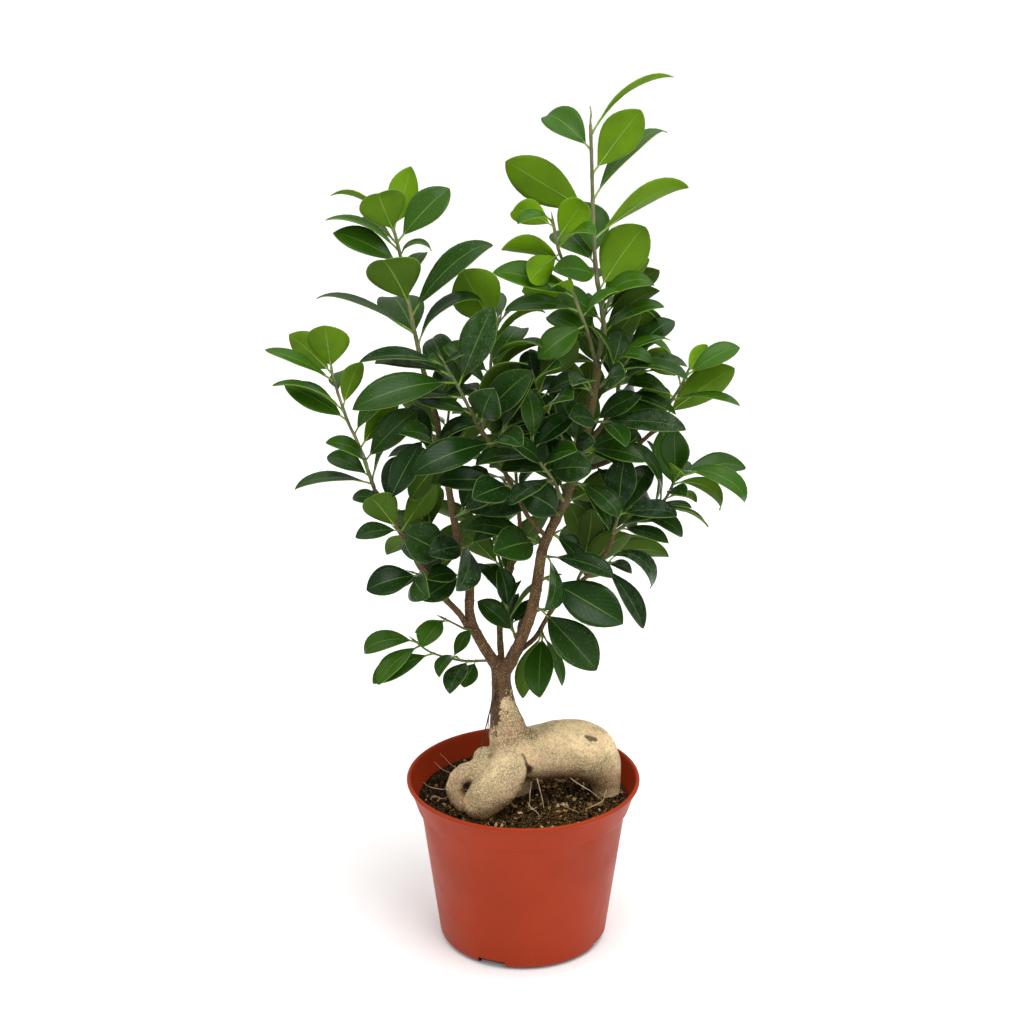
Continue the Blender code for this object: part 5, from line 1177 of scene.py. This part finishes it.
def leaf_upper(settings):
    """Glossy upper side: deep green when old, yellow-green when young, with a thin pale midrib, and a pale
    rim that is partly a painted highlight.
    """
    r = Recipe("leaf upper side")
    tone = r.attribute("tone")
    dust = r.attribute("dust")
    patch = r.noise(70.0, 3.0)
    age = r.span(r.plus(tone, r.swing(patch, 0.30)), 0.0, 1.0, smooth=False)
    colour = r.mix(age, settings.old, settings.young)
    colour = r.mix(r.span(patch, 0.55, 0.85, 0.0, 0.4), colour, shaded(settings.old, 1.7))
    colour = r.mix(vein_share(r, 0.42, 0.04), colour, settings.vein)
    dusty = r.calc("POWER", dust, 3.0)
    bloom = r.times(r.span(r.noise(230.0, 6.0, 0.75), 0.38, 0.66), dusty)
    specks = r.times(r.span(r.cells(560.0), 0.10, 0.20, 1.0, 0.0), dust)
    colour = r.mix(r.times(bloom, 0.55), colour, (0.17, 0.21, 0.155))
    colour = r.mix(r.times(specks, 0.45), colour, (0.42, 0.46, 0.36))
    uneven = r.plus(r.noise(45.0, 3.0), bloom)
    rough = r.span(uneven, 0.3, 1.2, settings.gloss - 0.05, settings.gloss + 0.22)
    relief = r.minus(r.noise(260.0, 3.0), vein_share(r, 0.8, 0.5))
    return r.finish(colour, rough, r.bump(relief, 0.00018, 0.55), Specular_IOR_Level=0.15)


def leaf_under(settings):
    """Matt underside: a paler green, with painted light that passes through it, so it is a lighter, yellower
    green.
    """
    r = Recipe("leaf underside")
    tone = r.attribute("tone")
    colour = r.mix(r.span(tone, 0.0, 1.0, smooth=False), settings.old_under, settings.young_under)
    colour = r.mix(r.span(r.noise(75.0, 3.0), 0.4, 0.8, 0.0, 0.45), colour, settings.old_under)
    colour = r.mix(vein_share(r, 0.55, 0.05), colour, settings.vein)
    return r.finish(colour, 0.62, r.bump(r.noise(300.0, 3.0), 0.00012, 0.5), Specular_IOR_Level=0.12)


def green_twig():
    """Young wood: grey green at the tip, turning brown and ridged lower down, with tiny pores."""
    r = Recipe("green twig")
    streak = r.noise(260.0, 5.0, 0.6, vector=r.place(scale=(1, 1, 0.3)))
    colour = r.mix(r.span(streak, 0.40, 0.66), (0.105, 0.150, 0.035), (0.24, 0.22, 0.09))
    colour = r.mix(r.span(r.noise(60.0, 2.0), 0.46, 0.66, 0.0, 0.75), colour, (0.10, 0.068, 0.036))
    pores = pores_on(r, 900.0, (0.16, 0.3), 130.0, (0.38, 0.58))
    colour = r.mix(r.times(pores, 0.5), colour, (0.42, 0.38, 0.24))
    return r.finish(colour, 0.6, r.bump(streak, 0.0003, 0.8))


def leaf_stalk():
    """Pale green stalk."""
    r = Recipe("leaf stalk")
    colour = r.mix(r.span(r.noise(150.0, 3.0), 0.35, 0.7), (0.15, 0.29, 0.030), (0.26, 0.38, 0.05))
    return r.finish(colour, 0.5, r.bump(r.noise(500.0, 2.0), 0.0001, 0.6))


def studio_floor(settings):
    """Pale floor that glows faintly."""
    r = Recipe("studio floor")
    shade = r.span(r.noise(3.0, 2.0), 0.0, 1.0, 0.985, 1.0)
    colour = r.mix(shade, shaded(settings.floor, 0.98), settings.floor)
    return r.finish(colour, 0.9, Specular_IOR_Level=0.0, Emission_Color=(1.0, 1.0, 1.0, 1.0),
                    Emission_Strength=settings.floor_glow)


# ---- Shared making -----------------------------------------------------------------------------------------

def add_piece(name, mesh, materials, node=None, smooth=True):
    """Puts a mesh in the scene as a piece of the plant, in place of the node that it stands for."""
    for material in materials:
        mesh.materials.append(material)
    mesh.shade_smooth() if smooth else mesh.shade_flat()
    piece = linked(name, mesh)
    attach(piece, "root")
    if node:
        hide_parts(node)
    return piece


def linked(name, data):
    """A new object in the scene."""
    obj = bpy.data.objects.new(name, data)
    bpy.context.scene.collection.objects.link(obj)
    return obj


def mesh_from(name, shape):
    """A new mesh from a shape, which is freed."""
    mesh = bpy.data.meshes.new(name)
    shape.to_mesh(mesh)
    shape.free()
    return mesh


def push_out(mesh, relief):
    """Moves every vertex along its normal by the relief at its place."""
    shape = bmesh.new()
    shape.from_mesh(mesh)
    shape.normal_update()
    moves = [vert.normal * relief(vert.co) for vert in shape.verts]
    for vert, move in zip(shape.verts, moves):
        vert.co += move
    shape.to_mesh(mesh)
    shape.free()


def settled_mesh(obj):
    """The object's mesh with its modifiers applied. The object itself is removed."""
    bpy.context.view_layer.update()
    graph = bpy.context.evaluated_depsgraph_get()
    mesh = bpy.data.meshes.new_from_object(obj.evaluated_get(graph), preserve_all_data_layers=True,
                                           depsgraph=graph)
    bpy.data.objects.remove(obj, do_unlink=True)
    return mesh


def helper(name, shape):
    """A passing object for modifiers to work on."""
    return linked(name, mesh_from(name, shape))


def tubes_mesh(name, strands, roundness=2):
    """Round strands, each a list of points and a radius at each point, as one mesh with closed ends."""
    curve = bpy.data.curves.new(name, "CURVE")
    curve.dimensions = "3D"
    curve.bevel_depth = 1.0
    curve.bevel_resolution = roundness
    curve.use_fill_caps = True
    for points, radii in strands:
        spline = curve.splines.new("POLY")
        spline.points.add(len(points) - 1)
        for knot, place, radius in zip(spline.points, points, radii):
            knot.co = (*place, 1.0)
            knot.radius = radius
    mesh = settled_mesh(linked(name, curve))
    shape = bmesh.new()
    shape.from_mesh(mesh)
    bmesh.ops.remove_doubles(shape, verts=shape.verts, dist=WELD_TUBES)
    bmesh.ops.recalc_face_normals(shape, faces=shape.faces)
    shape.to_mesh(mesh)
    shape.free()
    return mesh


def spun(outline, segments):
    """A closed body of revolution from an outline that starts and ends on the axis."""
    shape = bmesh.new()
    line = [shape.verts.new((radius * MM, 0.0, height * MM)) for radius, height in outline]
    edges = [shape.edges.new(pair) for pair in zip(line, line[1:])]
    bmesh.ops.spin(shape, geom=line + edges, axis=(0, 0, 1), cent=(0, 0, 0), angle=math.tau, steps=segments,
                   use_merge=True, use_duplicate=False)
    bmesh.ops.remove_doubles(shape, verts=shape.verts, dist=WELD_SPUN)
    bmesh.ops.recalc_face_normals(shape, faces=shape.faces)
    return shape


def joined_mesh(name, meshes):
    """Several meshes as one; the faces of each keep a material index of their own."""
    shape = bmesh.new()
    for mesh, shift in meshes:
        before = len(shape.faces)
        shape.from_mesh(mesh)
        shape.faces.ensure_lookup_table()
        for face in shape.faces[before:]:
            face.material_index += shift
        bpy.data.meshes.remove(mesh)
    return mesh_from(name, shape)


# ---- Pot ---------------------------------------------------------------------------------------------------

def drain_cutters():
    """Channels that cross the edge of the foot, and round holes through the floor."""
    cutters = bmesh.new()
    depth, width, height = (side * MM for side in FOOT_NOTCH_SIZE)
    for angle in FOOT_NOTCHES:
        place = (Matrix.Rotation(math.radians(angle), 4, "Z")
                 @ Matrix.Translation((FOOT_NOTCH_REACH * MM, 0.0, height / 2 - 1.0 * MM))
                 @ Matrix.Diagonal((depth, width, height + 2.0 * MM, 1.0)))
        bmesh.ops.create_cube(cutters, size=1.0, matrix=place)
    for index in range(DRAIN_HOLES):
        turn = Matrix.Rotation(math.tau * (index + 0.5) / DRAIN_HOLES, 4, "Z")
        place = turn @ Matrix.Translation((DRAIN_HOLE_REACH * MM, 0.0, 1.0 * MM))
        bmesh.ops.create_cone(cutters, cap_ends=True, segments=28, radius1=DRAIN_HOLE_RADIUS * MM,
                              radius2=DRAIN_HOLE_RADIUS * MM, depth=6.0 * MM, matrix=place)
    return cutters


def make_pot(settings):
    """The nursery pot: lip bead, flared collar, tapered wall, drained foot."""
    body = helper("pot body", spun(POT_OUTLINE, settings.segments))
    cutter = helper("pot drainage", drain_cutters())
    cut = body.modifiers.new("drainage", "BOOLEAN")
    cut.operation = "DIFFERENCE"
    cut.solver = "EXACT"
    cut.object = cutter
    mesh = settled_mesh(body)
    bpy.data.objects.remove(cutter, do_unlink=True)
    add_piece("nursery_pot", mesh, [pot_plastic(settings)], "pot")
    mesh.set_sharp_from_angle(angle=math.radians(50))


# ---- Soil --------------------------------------------------------------------------------------------------

def mound(x, y):
    """Height of the soil, in millimetres, over its edge."""
    ripple = 0.9 * math.sin(0.16 * x + 0.5) * math.cos(0.14 * y - 0.4)
    hollow = -2.0 * math.exp(-((x + 36.0) ** 2 + (y - 4.0) ** 2) / 160.0)
    rise = 2.4 * math.exp(-((x - 14.0) ** 2 + (y + 16.0) ** 2) / 420.0)
    return ripple + hollow + rise


def crumble(place):
    """Relief of the crumbs at a place on the soil, in metres."""
    coarse = noise.noise(place * 170.0) * 0.9
    clods = noise.cell(place * 520.0) * 0.5
    fine = noise.noise(place * 900.0) * 0.5
    return (coarse + clods + fine) * MM


def soil_height(x, y):
    """Height of the soil in metres at a place given in millimetres."""
    return (SOIL_LEVEL + mound(x, y)) * MM + crumble(Vector((x, y, 0.0)) * MM)


def make_soil(settings):
    """The mass of compost, with a fine uneven top."""
    edge = SOIL_SIDE[-1][0]
    rings = int(edge / SOIL_RING_STEP)
    top = tuple((edge * (1 - step / rings), SOIL_LEVEL) for step in range(1, rings + 1))
    shape = spun(SOIL_SIDE + top, SOIL_SEGMENTS)
    for vert in shape.verts:
        if vert.co.z > (SOIL_LEVEL - 0.1) * MM:
            x, y = vert.co.x / MM, vert.co.y / MM
            reach = math.hypot(x, y)
            full = soil_height(x, y)
            fade = min(1.0, max(0.0, (edge - reach) / 5.0))
            vert.co.z = vert.co.z * (1 - fade) + full * fade + crumble(vert.co) * 0.6 * (1 - fade)
    mesh = mesh_from("soil mass", shape)
    add_piece("soil_mass", mesh, [potting_soil(settings)], "soil")


def scatter(shape, shade, rng, count, size, stretch):
    """Crumbs thrown on the soil: squashed, turned and pressed in a little."""
    for _ in range(count):
        angle, radius = rng.uniform(0, math.tau), SCATTER_REACH * math.sqrt(rng.random())
        x, y = radius * math.cos(angle), radius * math.sin(angle)
        grain = size * rng.choice((0.5, 0.7, 0.8, 1.0, 1.0, 1.3, 1.7))
        turn = Matrix.Rotation(rng.uniform(0, math.tau), 4, Vector((rng.gauss(0, 1), rng.gauss(0, 1), 1)))
        place = Matrix.Translation((x * MM, y * MM, soil_height(x, y) + grain * rng.uniform(-0.2, 0.7)))
        form = Matrix.Diagonal((grain * stretch * rng.uniform(0.8, 1.3), grain * rng.uniform(0.6, 1.0),
                                grain * rng.uniform(0.5, 0.9), 1.0))
        found = bmesh.ops.create_icosphere(shape, subdivisions=1, radius=1.0, matrix=place @ turn @ form)
        own = min(1.0, max(0.0, rng.gauss(0.5, 0.24)))
        for vert in found["verts"]:
            vert[shade] = own
            vert.co += noise.noise_vector(vert.co * 2300.0) * grain * 0.45


def make_crumbs(settings):
    """Loose crumbs, straw and white grit on the soil."""
    rng = random.Random(CRUMB_SEED)
    kinds = (("soil_crumbs", settings.grains, settings.grain_size, 1.2, soil_crumbs(settings)),
             ("soil_chips", CHIPS, settings.grain_size * 0.75, 2.1, pale_chips()))
    for name, count, size, stretch, material in kinds:
        shape = bmesh.new()
        shade = shape.verts.layers.float.new("shade")
        scatter(shape, shade, rng, count, size, stretch)
        add_piece(name, mesh_from(name, shape), [material], smooth=False)


# ---- Swollen root ------------------------------------------------------------------------------------------

def ball_chain(shape, path, steps):
    """Balls along a path, close enough to melt into one root."""
    for ball in curve_points(path, steps):
        bmesh.ops.create_icosphere(shape, subdivisions=3, radius=ball[3] * MM,
                                   matrix=Matrix.Translation(point(ball)))


def fork_stub(name):
    """The foot of a stem as a short chain of balls inside the fork."""
    foot, _tip, path = STEMS[name]
    points = smooth_path(path, 4)
    chain = []
    walked = 0.0
    for before, after in zip(points, points[1:]):
        chain.append((*(before / MM), foot * (1.12 - 0.12 * walked / FORK_LENGTH)))
        walked += (after - before).length / MM
        if walked > FORK_LENGTH:
            break
    return chain


def skin_relief(place):
    """How far the root's skin stands out at a place, in metres: lumps, dents, folds and scars."""
    lumps = noise.noise(place * 62.0) * 0.75 + noise.noise(place * 150.0) * 0.32
    grain = noise.noise(place * 420.0) * 0.14
    streak = noise.noise(Vector((place.x * 420.0, place.y * 420.0, place.z * 90.0)))
    ridges = streak * 0.45 * min(1.0, max(0.0, (place.z / MM - 118.0) / 12.0))
    centre = point(CURL_HOLLOW)
    gap = (place - centre).length / MM
    folds = math.sin(gap * 3.1 + noise.noise(place * 120.0) * 3.0) * math.exp(-((gap - 15.0) / 7.0) ** 2)
    relief = lumps + grain + ridges + 0.16 * folds
    for x, y, z, reach in SCARS:
        relief -= 0.9 * math.exp(-((place - point((x, y, z))).length / MM / reach) ** 4)
    ring = (place - point(KNOT)).length / MM
    relief += 0.55 * math.exp(-((ring - 2.2) / 0.9) ** 2) - 0.4 * math.exp(-(ring / 1.4) ** 2)
    relief -= 1.3 * math.exp(-((place - point(CREASE)).length / MM / 2.6) ** 2)
    rough = noise.noise(place * 260.0) + 0.6 * noise.noise(place * 520.0)
    relief += 0.8 * rough * math.exp(-((place - point(ROUGH_TOE)).length / MM / 8.0) ** 2)
    relief += 0.7 * rough * math.exp(-((place - point(ROUGH_KNOB)).length / MM / 5.0) ** 2)
    return relief * MM


def make_caudex(settings):
    """Swollen roots and neck as one skin."""
    shape = bmesh.new()
    for limb in CAUDEX_LIMBS:
        ball_chain(shape, limb, 8)
    for name in FORK_STEMS:
        ball_chain(shape, fork_stub(name), 2)
    body = helper("caudex balls", shape)
    skin = body.modifiers.new("skin", "REMESH")
    skin.mode = "VOXEL"
    skin.voxel_size = settings.voxel
    soften = body.modifiers.new("soften", "SMOOTH")
    soften.factor = 0.5
    soften.iterations = 12
    mesh = settled_mesh(body)
    push_out(mesh, skin_relief)
    add_piece("caudex_skin", mesh, [caudex_skin(settings)], "caudex")


def strand(radius, path, steps=6, wobble=0.25):
    """A thin root: its points wander a little and it thins towards its end."""
    points = smooth_path(path, steps)
    for index, place in enumerate(points[1:], 1):
        place += noise.noise_vector(place * 180.0) * wobble * MM * min(1.0, index / 3)
    last = len(points) - 1
    return points, [radius * MM * (1.0 - 0.55 * index / last) for index in range(last + 1)]


def make_roots():
    """Dark roots that hang from the neck, and pale hairs that come out of the soil."""
    hanging = tubes_mesh("hanging roots", [strand(radius, path) for radius, path in HANGING_ROOTS])
    add_piece("hanging_roots", hanging, [dark_root()])
    hairs = tubes_mesh("root hairs", [strand(radius, path, wobble=0.6) for radius, path in SOIL_ROOTS])
    add_piece("root_hairs", hairs, [root_hair()])


# ---- Stems -------------------------------------------------------------------------------------------------

def stem_strand(name):
    """A stem's fine line, with the swellings of old leaf scars on it."""
    foot, tip, path = STEMS[name]
    points = smooth_path(path, 10)
    last = len(points) - 1
    radii = []
    walked = 0.0
    for index, place in enumerate(points):
        taper = foot + (tip - foot) * index / last
        scar = max(0.0, math.sin(walked * math.tau / LEAF_SCAR_STEP)) ** 6
        radii.append((taper * (1.0 + 0.05 * noise.noise(place * 90.0)) + 0.28 * scar * taper / 2.4) * MM)
        if index < last:
            walked += (points[index + 1] - place).length / MM
    return points, radii


def bark_relief(place):
    """How far the bark stands out at a place, in metres."""
    return (noise.noise(place * 700.0) + 0.5 * noise.noise(place * 1500.0)) * 0.13 * MM


def make_stems(settings):
    """Every woody stem and branch, each a piece of its own."""
    bark = stem_bark(settings)
    for name in STEMS:
        mesh = tubes_mesh(name, [stem_strand(name)], roundness=5)
        push_out(mesh, bark_relief)
        add_piece(f"{name}_bark", mesh, [bark], name)


# ---- Leaves ------------------------------------------------------------------------------------------------

class Habit:
    """How one leaf is grown: age, curl at the tip, fold, sway and waves along its rim."""

    def __init__(self, shoot, leaf, rng):
        base_tone = YOUNG_SHOOTS.get(shoot.name, OLD_TONE)
        climb = (leaf.share - 0.5) * 0.5 if shoot.name in YOUNG_SHOOTS else 0.0
        self.tone = min(1.0, max(0.0, base_tone + climb + rng.uniform(-0.12, 0.20)))
        self.curl = math.radians(rng.choice(CURLS))
        self.fold = rng.uniform(0.10, 0.34)
        self.sway = rng.uniform(-0.05, 0.05)
        self.wave = rng.uniform(0.2, 1.0) * 0.35 * MM
        self.phase = rng.uniform(0, math.tau)
        self.twist = math.radians(rng.uniform(-10, 10))
        self.dust = (1.0 - self.tone) * rng.uniform(0.15, 0.9)


def midrib(leaf, habit, steps=40):
    """Places and turned axes down the leaf's middle, from twig to tip: (place, heading, face) for each step.
    However the leaf bends, its tip ends up straight out from the twig at the leaf's length."""
    bends, spots = [], [(0.0, 0.0)]
    for step in range(steps + 1):
        share = step / steps
        bend = 4.0 * leaf.arch * (1 - 2 * share)
        if share > CURL_START:
            late = (share - CURL_START) / (1 - CURL_START)
            bend -= habit.curl * late * late
        bends.append(bend)
        spots.append((spots[-1][0] + math.cos(bend), spots[-1][1] + math.sin(bend)))
    out, up = spots[steps]
    tip_angle, stretch = math.atan2(up, out), leaf.length / math.hypot(out, up)
    found = []
    for bend, (out, up) in zip(bends, spots):
        reach, angle = math.hypot(out, up) * stretch, math.atan2(up, out) - tip_angle
        place = leaf.base + (leaf.course * math.cos(angle) + leaf.face * math.sin(angle)) * reach
        bend -= tip_angle
        found.append((place, leaf.course * math.cos(bend) + leaf.face * math.sin(bend),
                      leaf.face * math.cos(bend) - leaf.course * math.sin(bend)))
    return found


def at_share(spine, share):
    """The midrib's place and axes at a share of its length."""
    spot = min(max(share, 0.0), 1.0) * (len(spine) - 1)
    index = min(int(spot), len(spine) - 2)
    part = spot - index
    (place, heading, face), (place_b, heading_b, face_b) = spine[index], spine[index + 1]
    return place.lerp(place_b, part), heading.lerp(heading_b, part), face.lerp(face_b, part)


def blade_width(share):
    """Half-width of the blade over the leaf's half-width, at a share of the blade's length."""
    return math.sin(math.pi * min(max(share, 0.0), 1.0) ** BLADE_WIDEST) ** BLADE_BLUNTNESS


def add_blade(shape, leaf, habit, layers):
    """One blade: a small grid, bent along its midrib, folded, waved and drawn in to its outline."""
    tone, dust = layers
    grid = bmesh.ops.create_grid(shape, x_segments=BLADE_COLUMNS, y_segments=BLADE_ROWS, size=1.0,
                                 calc_uvs=True)
    spine = midrib(leaf, habit)
    for vert in grid["verts"]:
        across, row = vert.co.x, (vert.co.y + 1) / 2
        share = 0.5 - 0.5 * math.cos(math.pi * row)
        stretch = STALK_SHARE + (1 - STALK_SHARE) * share * (1 + TIP_POINT * (row > 0.99))
        place, heading, face = at_share(spine, stretch)
        half = max(leaf.width / 2 * blade_width(share), 0.35 * MM * (1 - share))
        side = heading.cross(face).normalized()
        twist = Matrix.Rotation(habit.twist * share, 3, heading)
        side, face = twist @ side, twist @ face
        off = across * half
        lift = abs(off) * habit.fold * (0.6 + 0.4 * abs(across))
        ripple = habit.wave * math.sin(share * 13.0 + habit.phase + across) * across * across
        vert.co = (place + side * (off + habit.sway * leaf.length * share * share) + face * (lift + ripple))
        vert[tone] = habit.tone
        vert[dust] = habit.dust


def blades_mesh(name, shoot, habits, thickness):
    """All blades of a shoot, rounded and given their thickness: upper side first, underside second."""
    shape = bmesh.new()
    shape.loops.layers.uv.new("Blade")
    layers = (shape.verts.layers.float.new("tone"), shape.verts.layers.float.new("dust"))
    for leaf, habit in zip(shoot.leaves, habits):
        add_blade(shape, leaf, habit, layers)
    body = helper(name, shape)
    rounded = body.modifiers.new("rounded", "SUBSURF")
    rounded.levels = 1
    rounded.render_levels = 1
    thick = body.modifiers.new("thickness", "SOLIDIFY")
    thick.thickness = thickness
    thick.offset = -1.0
    thick.material_offset = 1
    thick.material_offset_rim = 1
    for _side in range(2):
        body.data.materials.append(None)
    return settled_mesh(body)


def stalk_strand(leaf, habit):
    """The stalk, from inside the twig to a little way under the blade, where it runs out as the midrib."""
    spine = midrib(leaf, habit)
    points, radii = [leaf.base - leaf.course * 0.6 * MM], [0.62 * MM]
    for share, radius in STALK_PROFILE:
        place, _heading, face = at_share(spine, share)
        sink = 0.12 + 0.34 * min(1.0, max(0.0, (share - 0.09) / 0.10))
        points.append(place - face * sink * MM)
        radii.append(radius * MM * min(1.0, leaf.length / (30 * MM)))
    return points, radii


def twig_strand(shoot):
    """The twig, rooted in its wood, a little swollen at every leaf, with a pointed bud at its end."""
    points = [shoot.foot] + shoot.path
    fine = [Vector(row[:3]) for row in curve_points([(*place, 0) for place in points], 4)]
    lengths = [0.0]
    for before, after in zip(fine, fine[1:]):
        lengths.append(lengths[-1] + (after - before).length)
    whole = lengths[-1]
    radii = []
    for walked in lengths:
        share = walked / whole
        knot = sum(math.exp(-((share - leaf.share) * whole / (1.3 * MM)) ** 2) for leaf in shoot.leaves)
        radii.append(shoot.radius * (1.0 - 0.35 * share) * (0.92 + 0.16 * min(knot, 1.0)))
    heading = (fine[-1] - fine[-2]).normalized()
    for length, radius in BUD_PROFILE:
        fine.append(fine[-1] + heading * length * 0.6 * MM)
        radii.append(radius * MM)
    return fine, radii


def make_shoots(settings):
    """Every leafy shoot: blades, stalks and twig as one piece."""
    upper, under, stalk, twig = leaf_upper(settings), leaf_under(settings), leaf_stalk(), green_twig()
    rng = random.Random(HABIT_SEED)
    for shoot in grown_shoots():
        habits = [Habit(shoot, leaf, rng) for leaf in shoot.leaves]
        blades = blades_mesh(f"{shoot.name} blades", shoot, habits, settings.thickness)
        stalks = tubes_mesh(f"{shoot.name} stalks",
                            [stalk_strand(leaf, habit) for leaf, habit in zip(shoot.leaves, habits)], 1)
        twigs = tubes_mesh(f"{shoot.name} twig", [twig_strand(shoot)], 2)
        mesh = joined_mesh(f"{shoot.name} leaves", ((blades, 0), (stalks, 2), (twigs, 3)))
        add_piece(f"{shoot.name}_leaves", mesh, [upper, under, stalk, twig], shoot.name)


# ---- Stage -------------------------------------------------------------------------------------------------

def backdrop(settings):
    """A wide pale floor, whose far edge stays out of the picture."""
    shape = bmesh.new()
    bmesh.ops.create_grid(shape, x_segments=1, y_segments=1, size=settings.floor_reach)
    mesh = mesh_from("floor", shape)
    mesh.materials.append(studio_floor(settings))
    linked("floor", mesh)


def add_softbox(name, place, size, power):
    """A rectangular area light that looks at the plant."""
    light = bpy.data.lights.new(name, "AREA")
    light.shape = "RECTANGLE"
    light.size, light.size_y = size
    light.energy = power
    lamp = linked(name, light)
    lamp.location = place
    lamp.rotation_euler = (Vector(LIGHT_TARGET) - Vector(place)).to_track_quat("-Z", "Y").to_euler()


def light_tent(settings):
    """World light like that of a white tent: brightest overhead, dimmer towards the horizon."""
    world = bpy.data.worlds.new("light tent")
    world.use_nodes = True
    tree = world.node_tree
    coordinates = tree.nodes.new("ShaderNodeTexCoord")
    axes = tree.nodes.new("ShaderNodeSeparateXYZ")
    rise = tree.nodes.new("ShaderNodeMapRange")
    rise.inputs["From Min"].default_value = -0.05
    rise.inputs["From Max"].default_value = 0.9
    rise.inputs["To Min"].default_value = settings.horizon
    rise.inputs["To Max"].default_value = settings.zenith
    tree.links.new(coordinates.outputs["Generated"], axes.inputs["Vector"])
    tree.links.new(axes.outputs["Z"], rise.inputs["Value"])
    tree.links.new(rise.outputs["Result"], tree.nodes["Background"].inputs["Strength"])
    tree.nodes["Background"].inputs["Color"].default_value = (1.0, 1.0, 1.0, 1.0)
    return world


def make_stage(settings):
    """Pale floor, soft light from above and in front, and the camera."""
    backdrop(settings)
    for name, place, size, power in SOFTBOXES:
        add_softbox(name, place, size, power * settings.softboxes)
    scene = bpy.context.scene
    scene.world = light_tent(settings)
    scene.view_settings.view_transform = "Standard"
    camera = bpy.data.cameras.new("camera")
    camera.lens = settings.lens
    camera.sensor_width = 36.0
    camera.clip_start = 0.01
    view = linked("camera", camera)
    view.location = CAMERA_PLACE
    view.rotation_euler = (math.pi / 2 - settings.tilt, 0.0, 0.0)
    scene.camera = view


# ---- Add-on ------------------------------------------------------------------------------------------------

class MakePot(bpy.types.Operator):
    """Turn the nursery pot and cut its drainage"""
    bl_idname = "ficus.make_pot"
    bl_label = "Nursery pot"

    def execute(self, context):
        make_pot(context.scene.ficus.pot)
        return {"FINISHED"}


class MakeSoil(bpy.types.Operator):
    """Fill the pot with compost and scatter crumbs and chips on it"""
    bl_idname = "ficus.make_soil"
    bl_label = "Soil"

    def execute(self, context):
        make_soil(context.scene.ficus.soil)
        make_crumbs(context.scene.ficus.soil)
        return {"FINISHED"}


class MakeCaudex(bpy.types.Operator):
    """Grow the swollen root and its thin roots"""
    bl_idname = "ficus.make_caudex"
    bl_label = "Swollen root"

    def execute(self, context):
        make_caudex(context.scene.ficus.wood)
        make_roots()
        return {"FINISHED"}


class MakeStems(bpy.types.Operator):
    """Grow the woody stems and branches"""
    bl_idname = "ficus.make_stems"
    bl_label = "Stems"

    def execute(self, context):
        make_stems(context.scene.ficus.wood)
        return {"FINISHED"}


class MakeShoots(bpy.types.Operator):
    """Grow every leafy shoot"""
    bl_idname = "ficus.make_shoots"
    bl_label = "Leafy shoots"

    def execute(self, context):
        make_shoots(context.scene.ficus.leaves)
        return {"FINISHED"}


class MakeStage(bpy.types.Operator):
    """Set up the floor, the lights and the camera"""
    bl_idname = "ficus.make_stage"
    bl_label = "Stage"

    def execute(self, context):
        make_stage(context.scene.ficus.stage)
        return {"FINISHED"}


class FicusPanel(bpy.types.Panel):
    """Sizes, colours and one button for each piece"""
    bl_idname = "VIEW3D_PT_ficus"
    bl_label = "Potted ficus"
    bl_space_type = "VIEW_3D"
    bl_region_type = "UI"
    bl_category = "Ficus"

    def draw(self, context):
        settings = context.scene.ficus
        for operator, group in PANEL_ROWS:
            box = self.layout.box()
            box.operator(operator.bl_idname)
            values = getattr(settings, group)
            for key in values.__annotations__:
                box.prop(values, key)


PANEL_ROWS = ((MakePot, "pot"), (MakeSoil, "soil"), (MakeCaudex, "wood"), (MakeStems, "wood"),
              (MakeShoots, "leaves"), (MakeStage, "stage"))
CLASSES = (PotSettings, SoilSettings, WoodSettings, LeafSettings, StageSettings, FicusSettings,
           MakePot, MakeSoil, MakeCaudex, MakeStems, MakeShoots, MakeStage, FicusPanel)


def register():
    for cls in CLASSES:
        bpy.utils.register_class(cls)
    bpy.types.Scene.ficus = PointerProperty(type=FicusSettings)


def unregister():
    del bpy.types.Scene.ficus
    for cls in reversed(CLASSES):
        bpy.utils.unregister_class(cls)


def main():
    register()
    bpy.ops.ficus.make_stage()
    bpy.ops.ficus.make_pot()
    bpy.ops.ficus.make_soil()
    bpy.ops.ficus.make_caudex()
    bpy.ops.ficus.make_stems()
    bpy.ops.ficus.make_shoots()


if __name__ == "__main__":
    main()
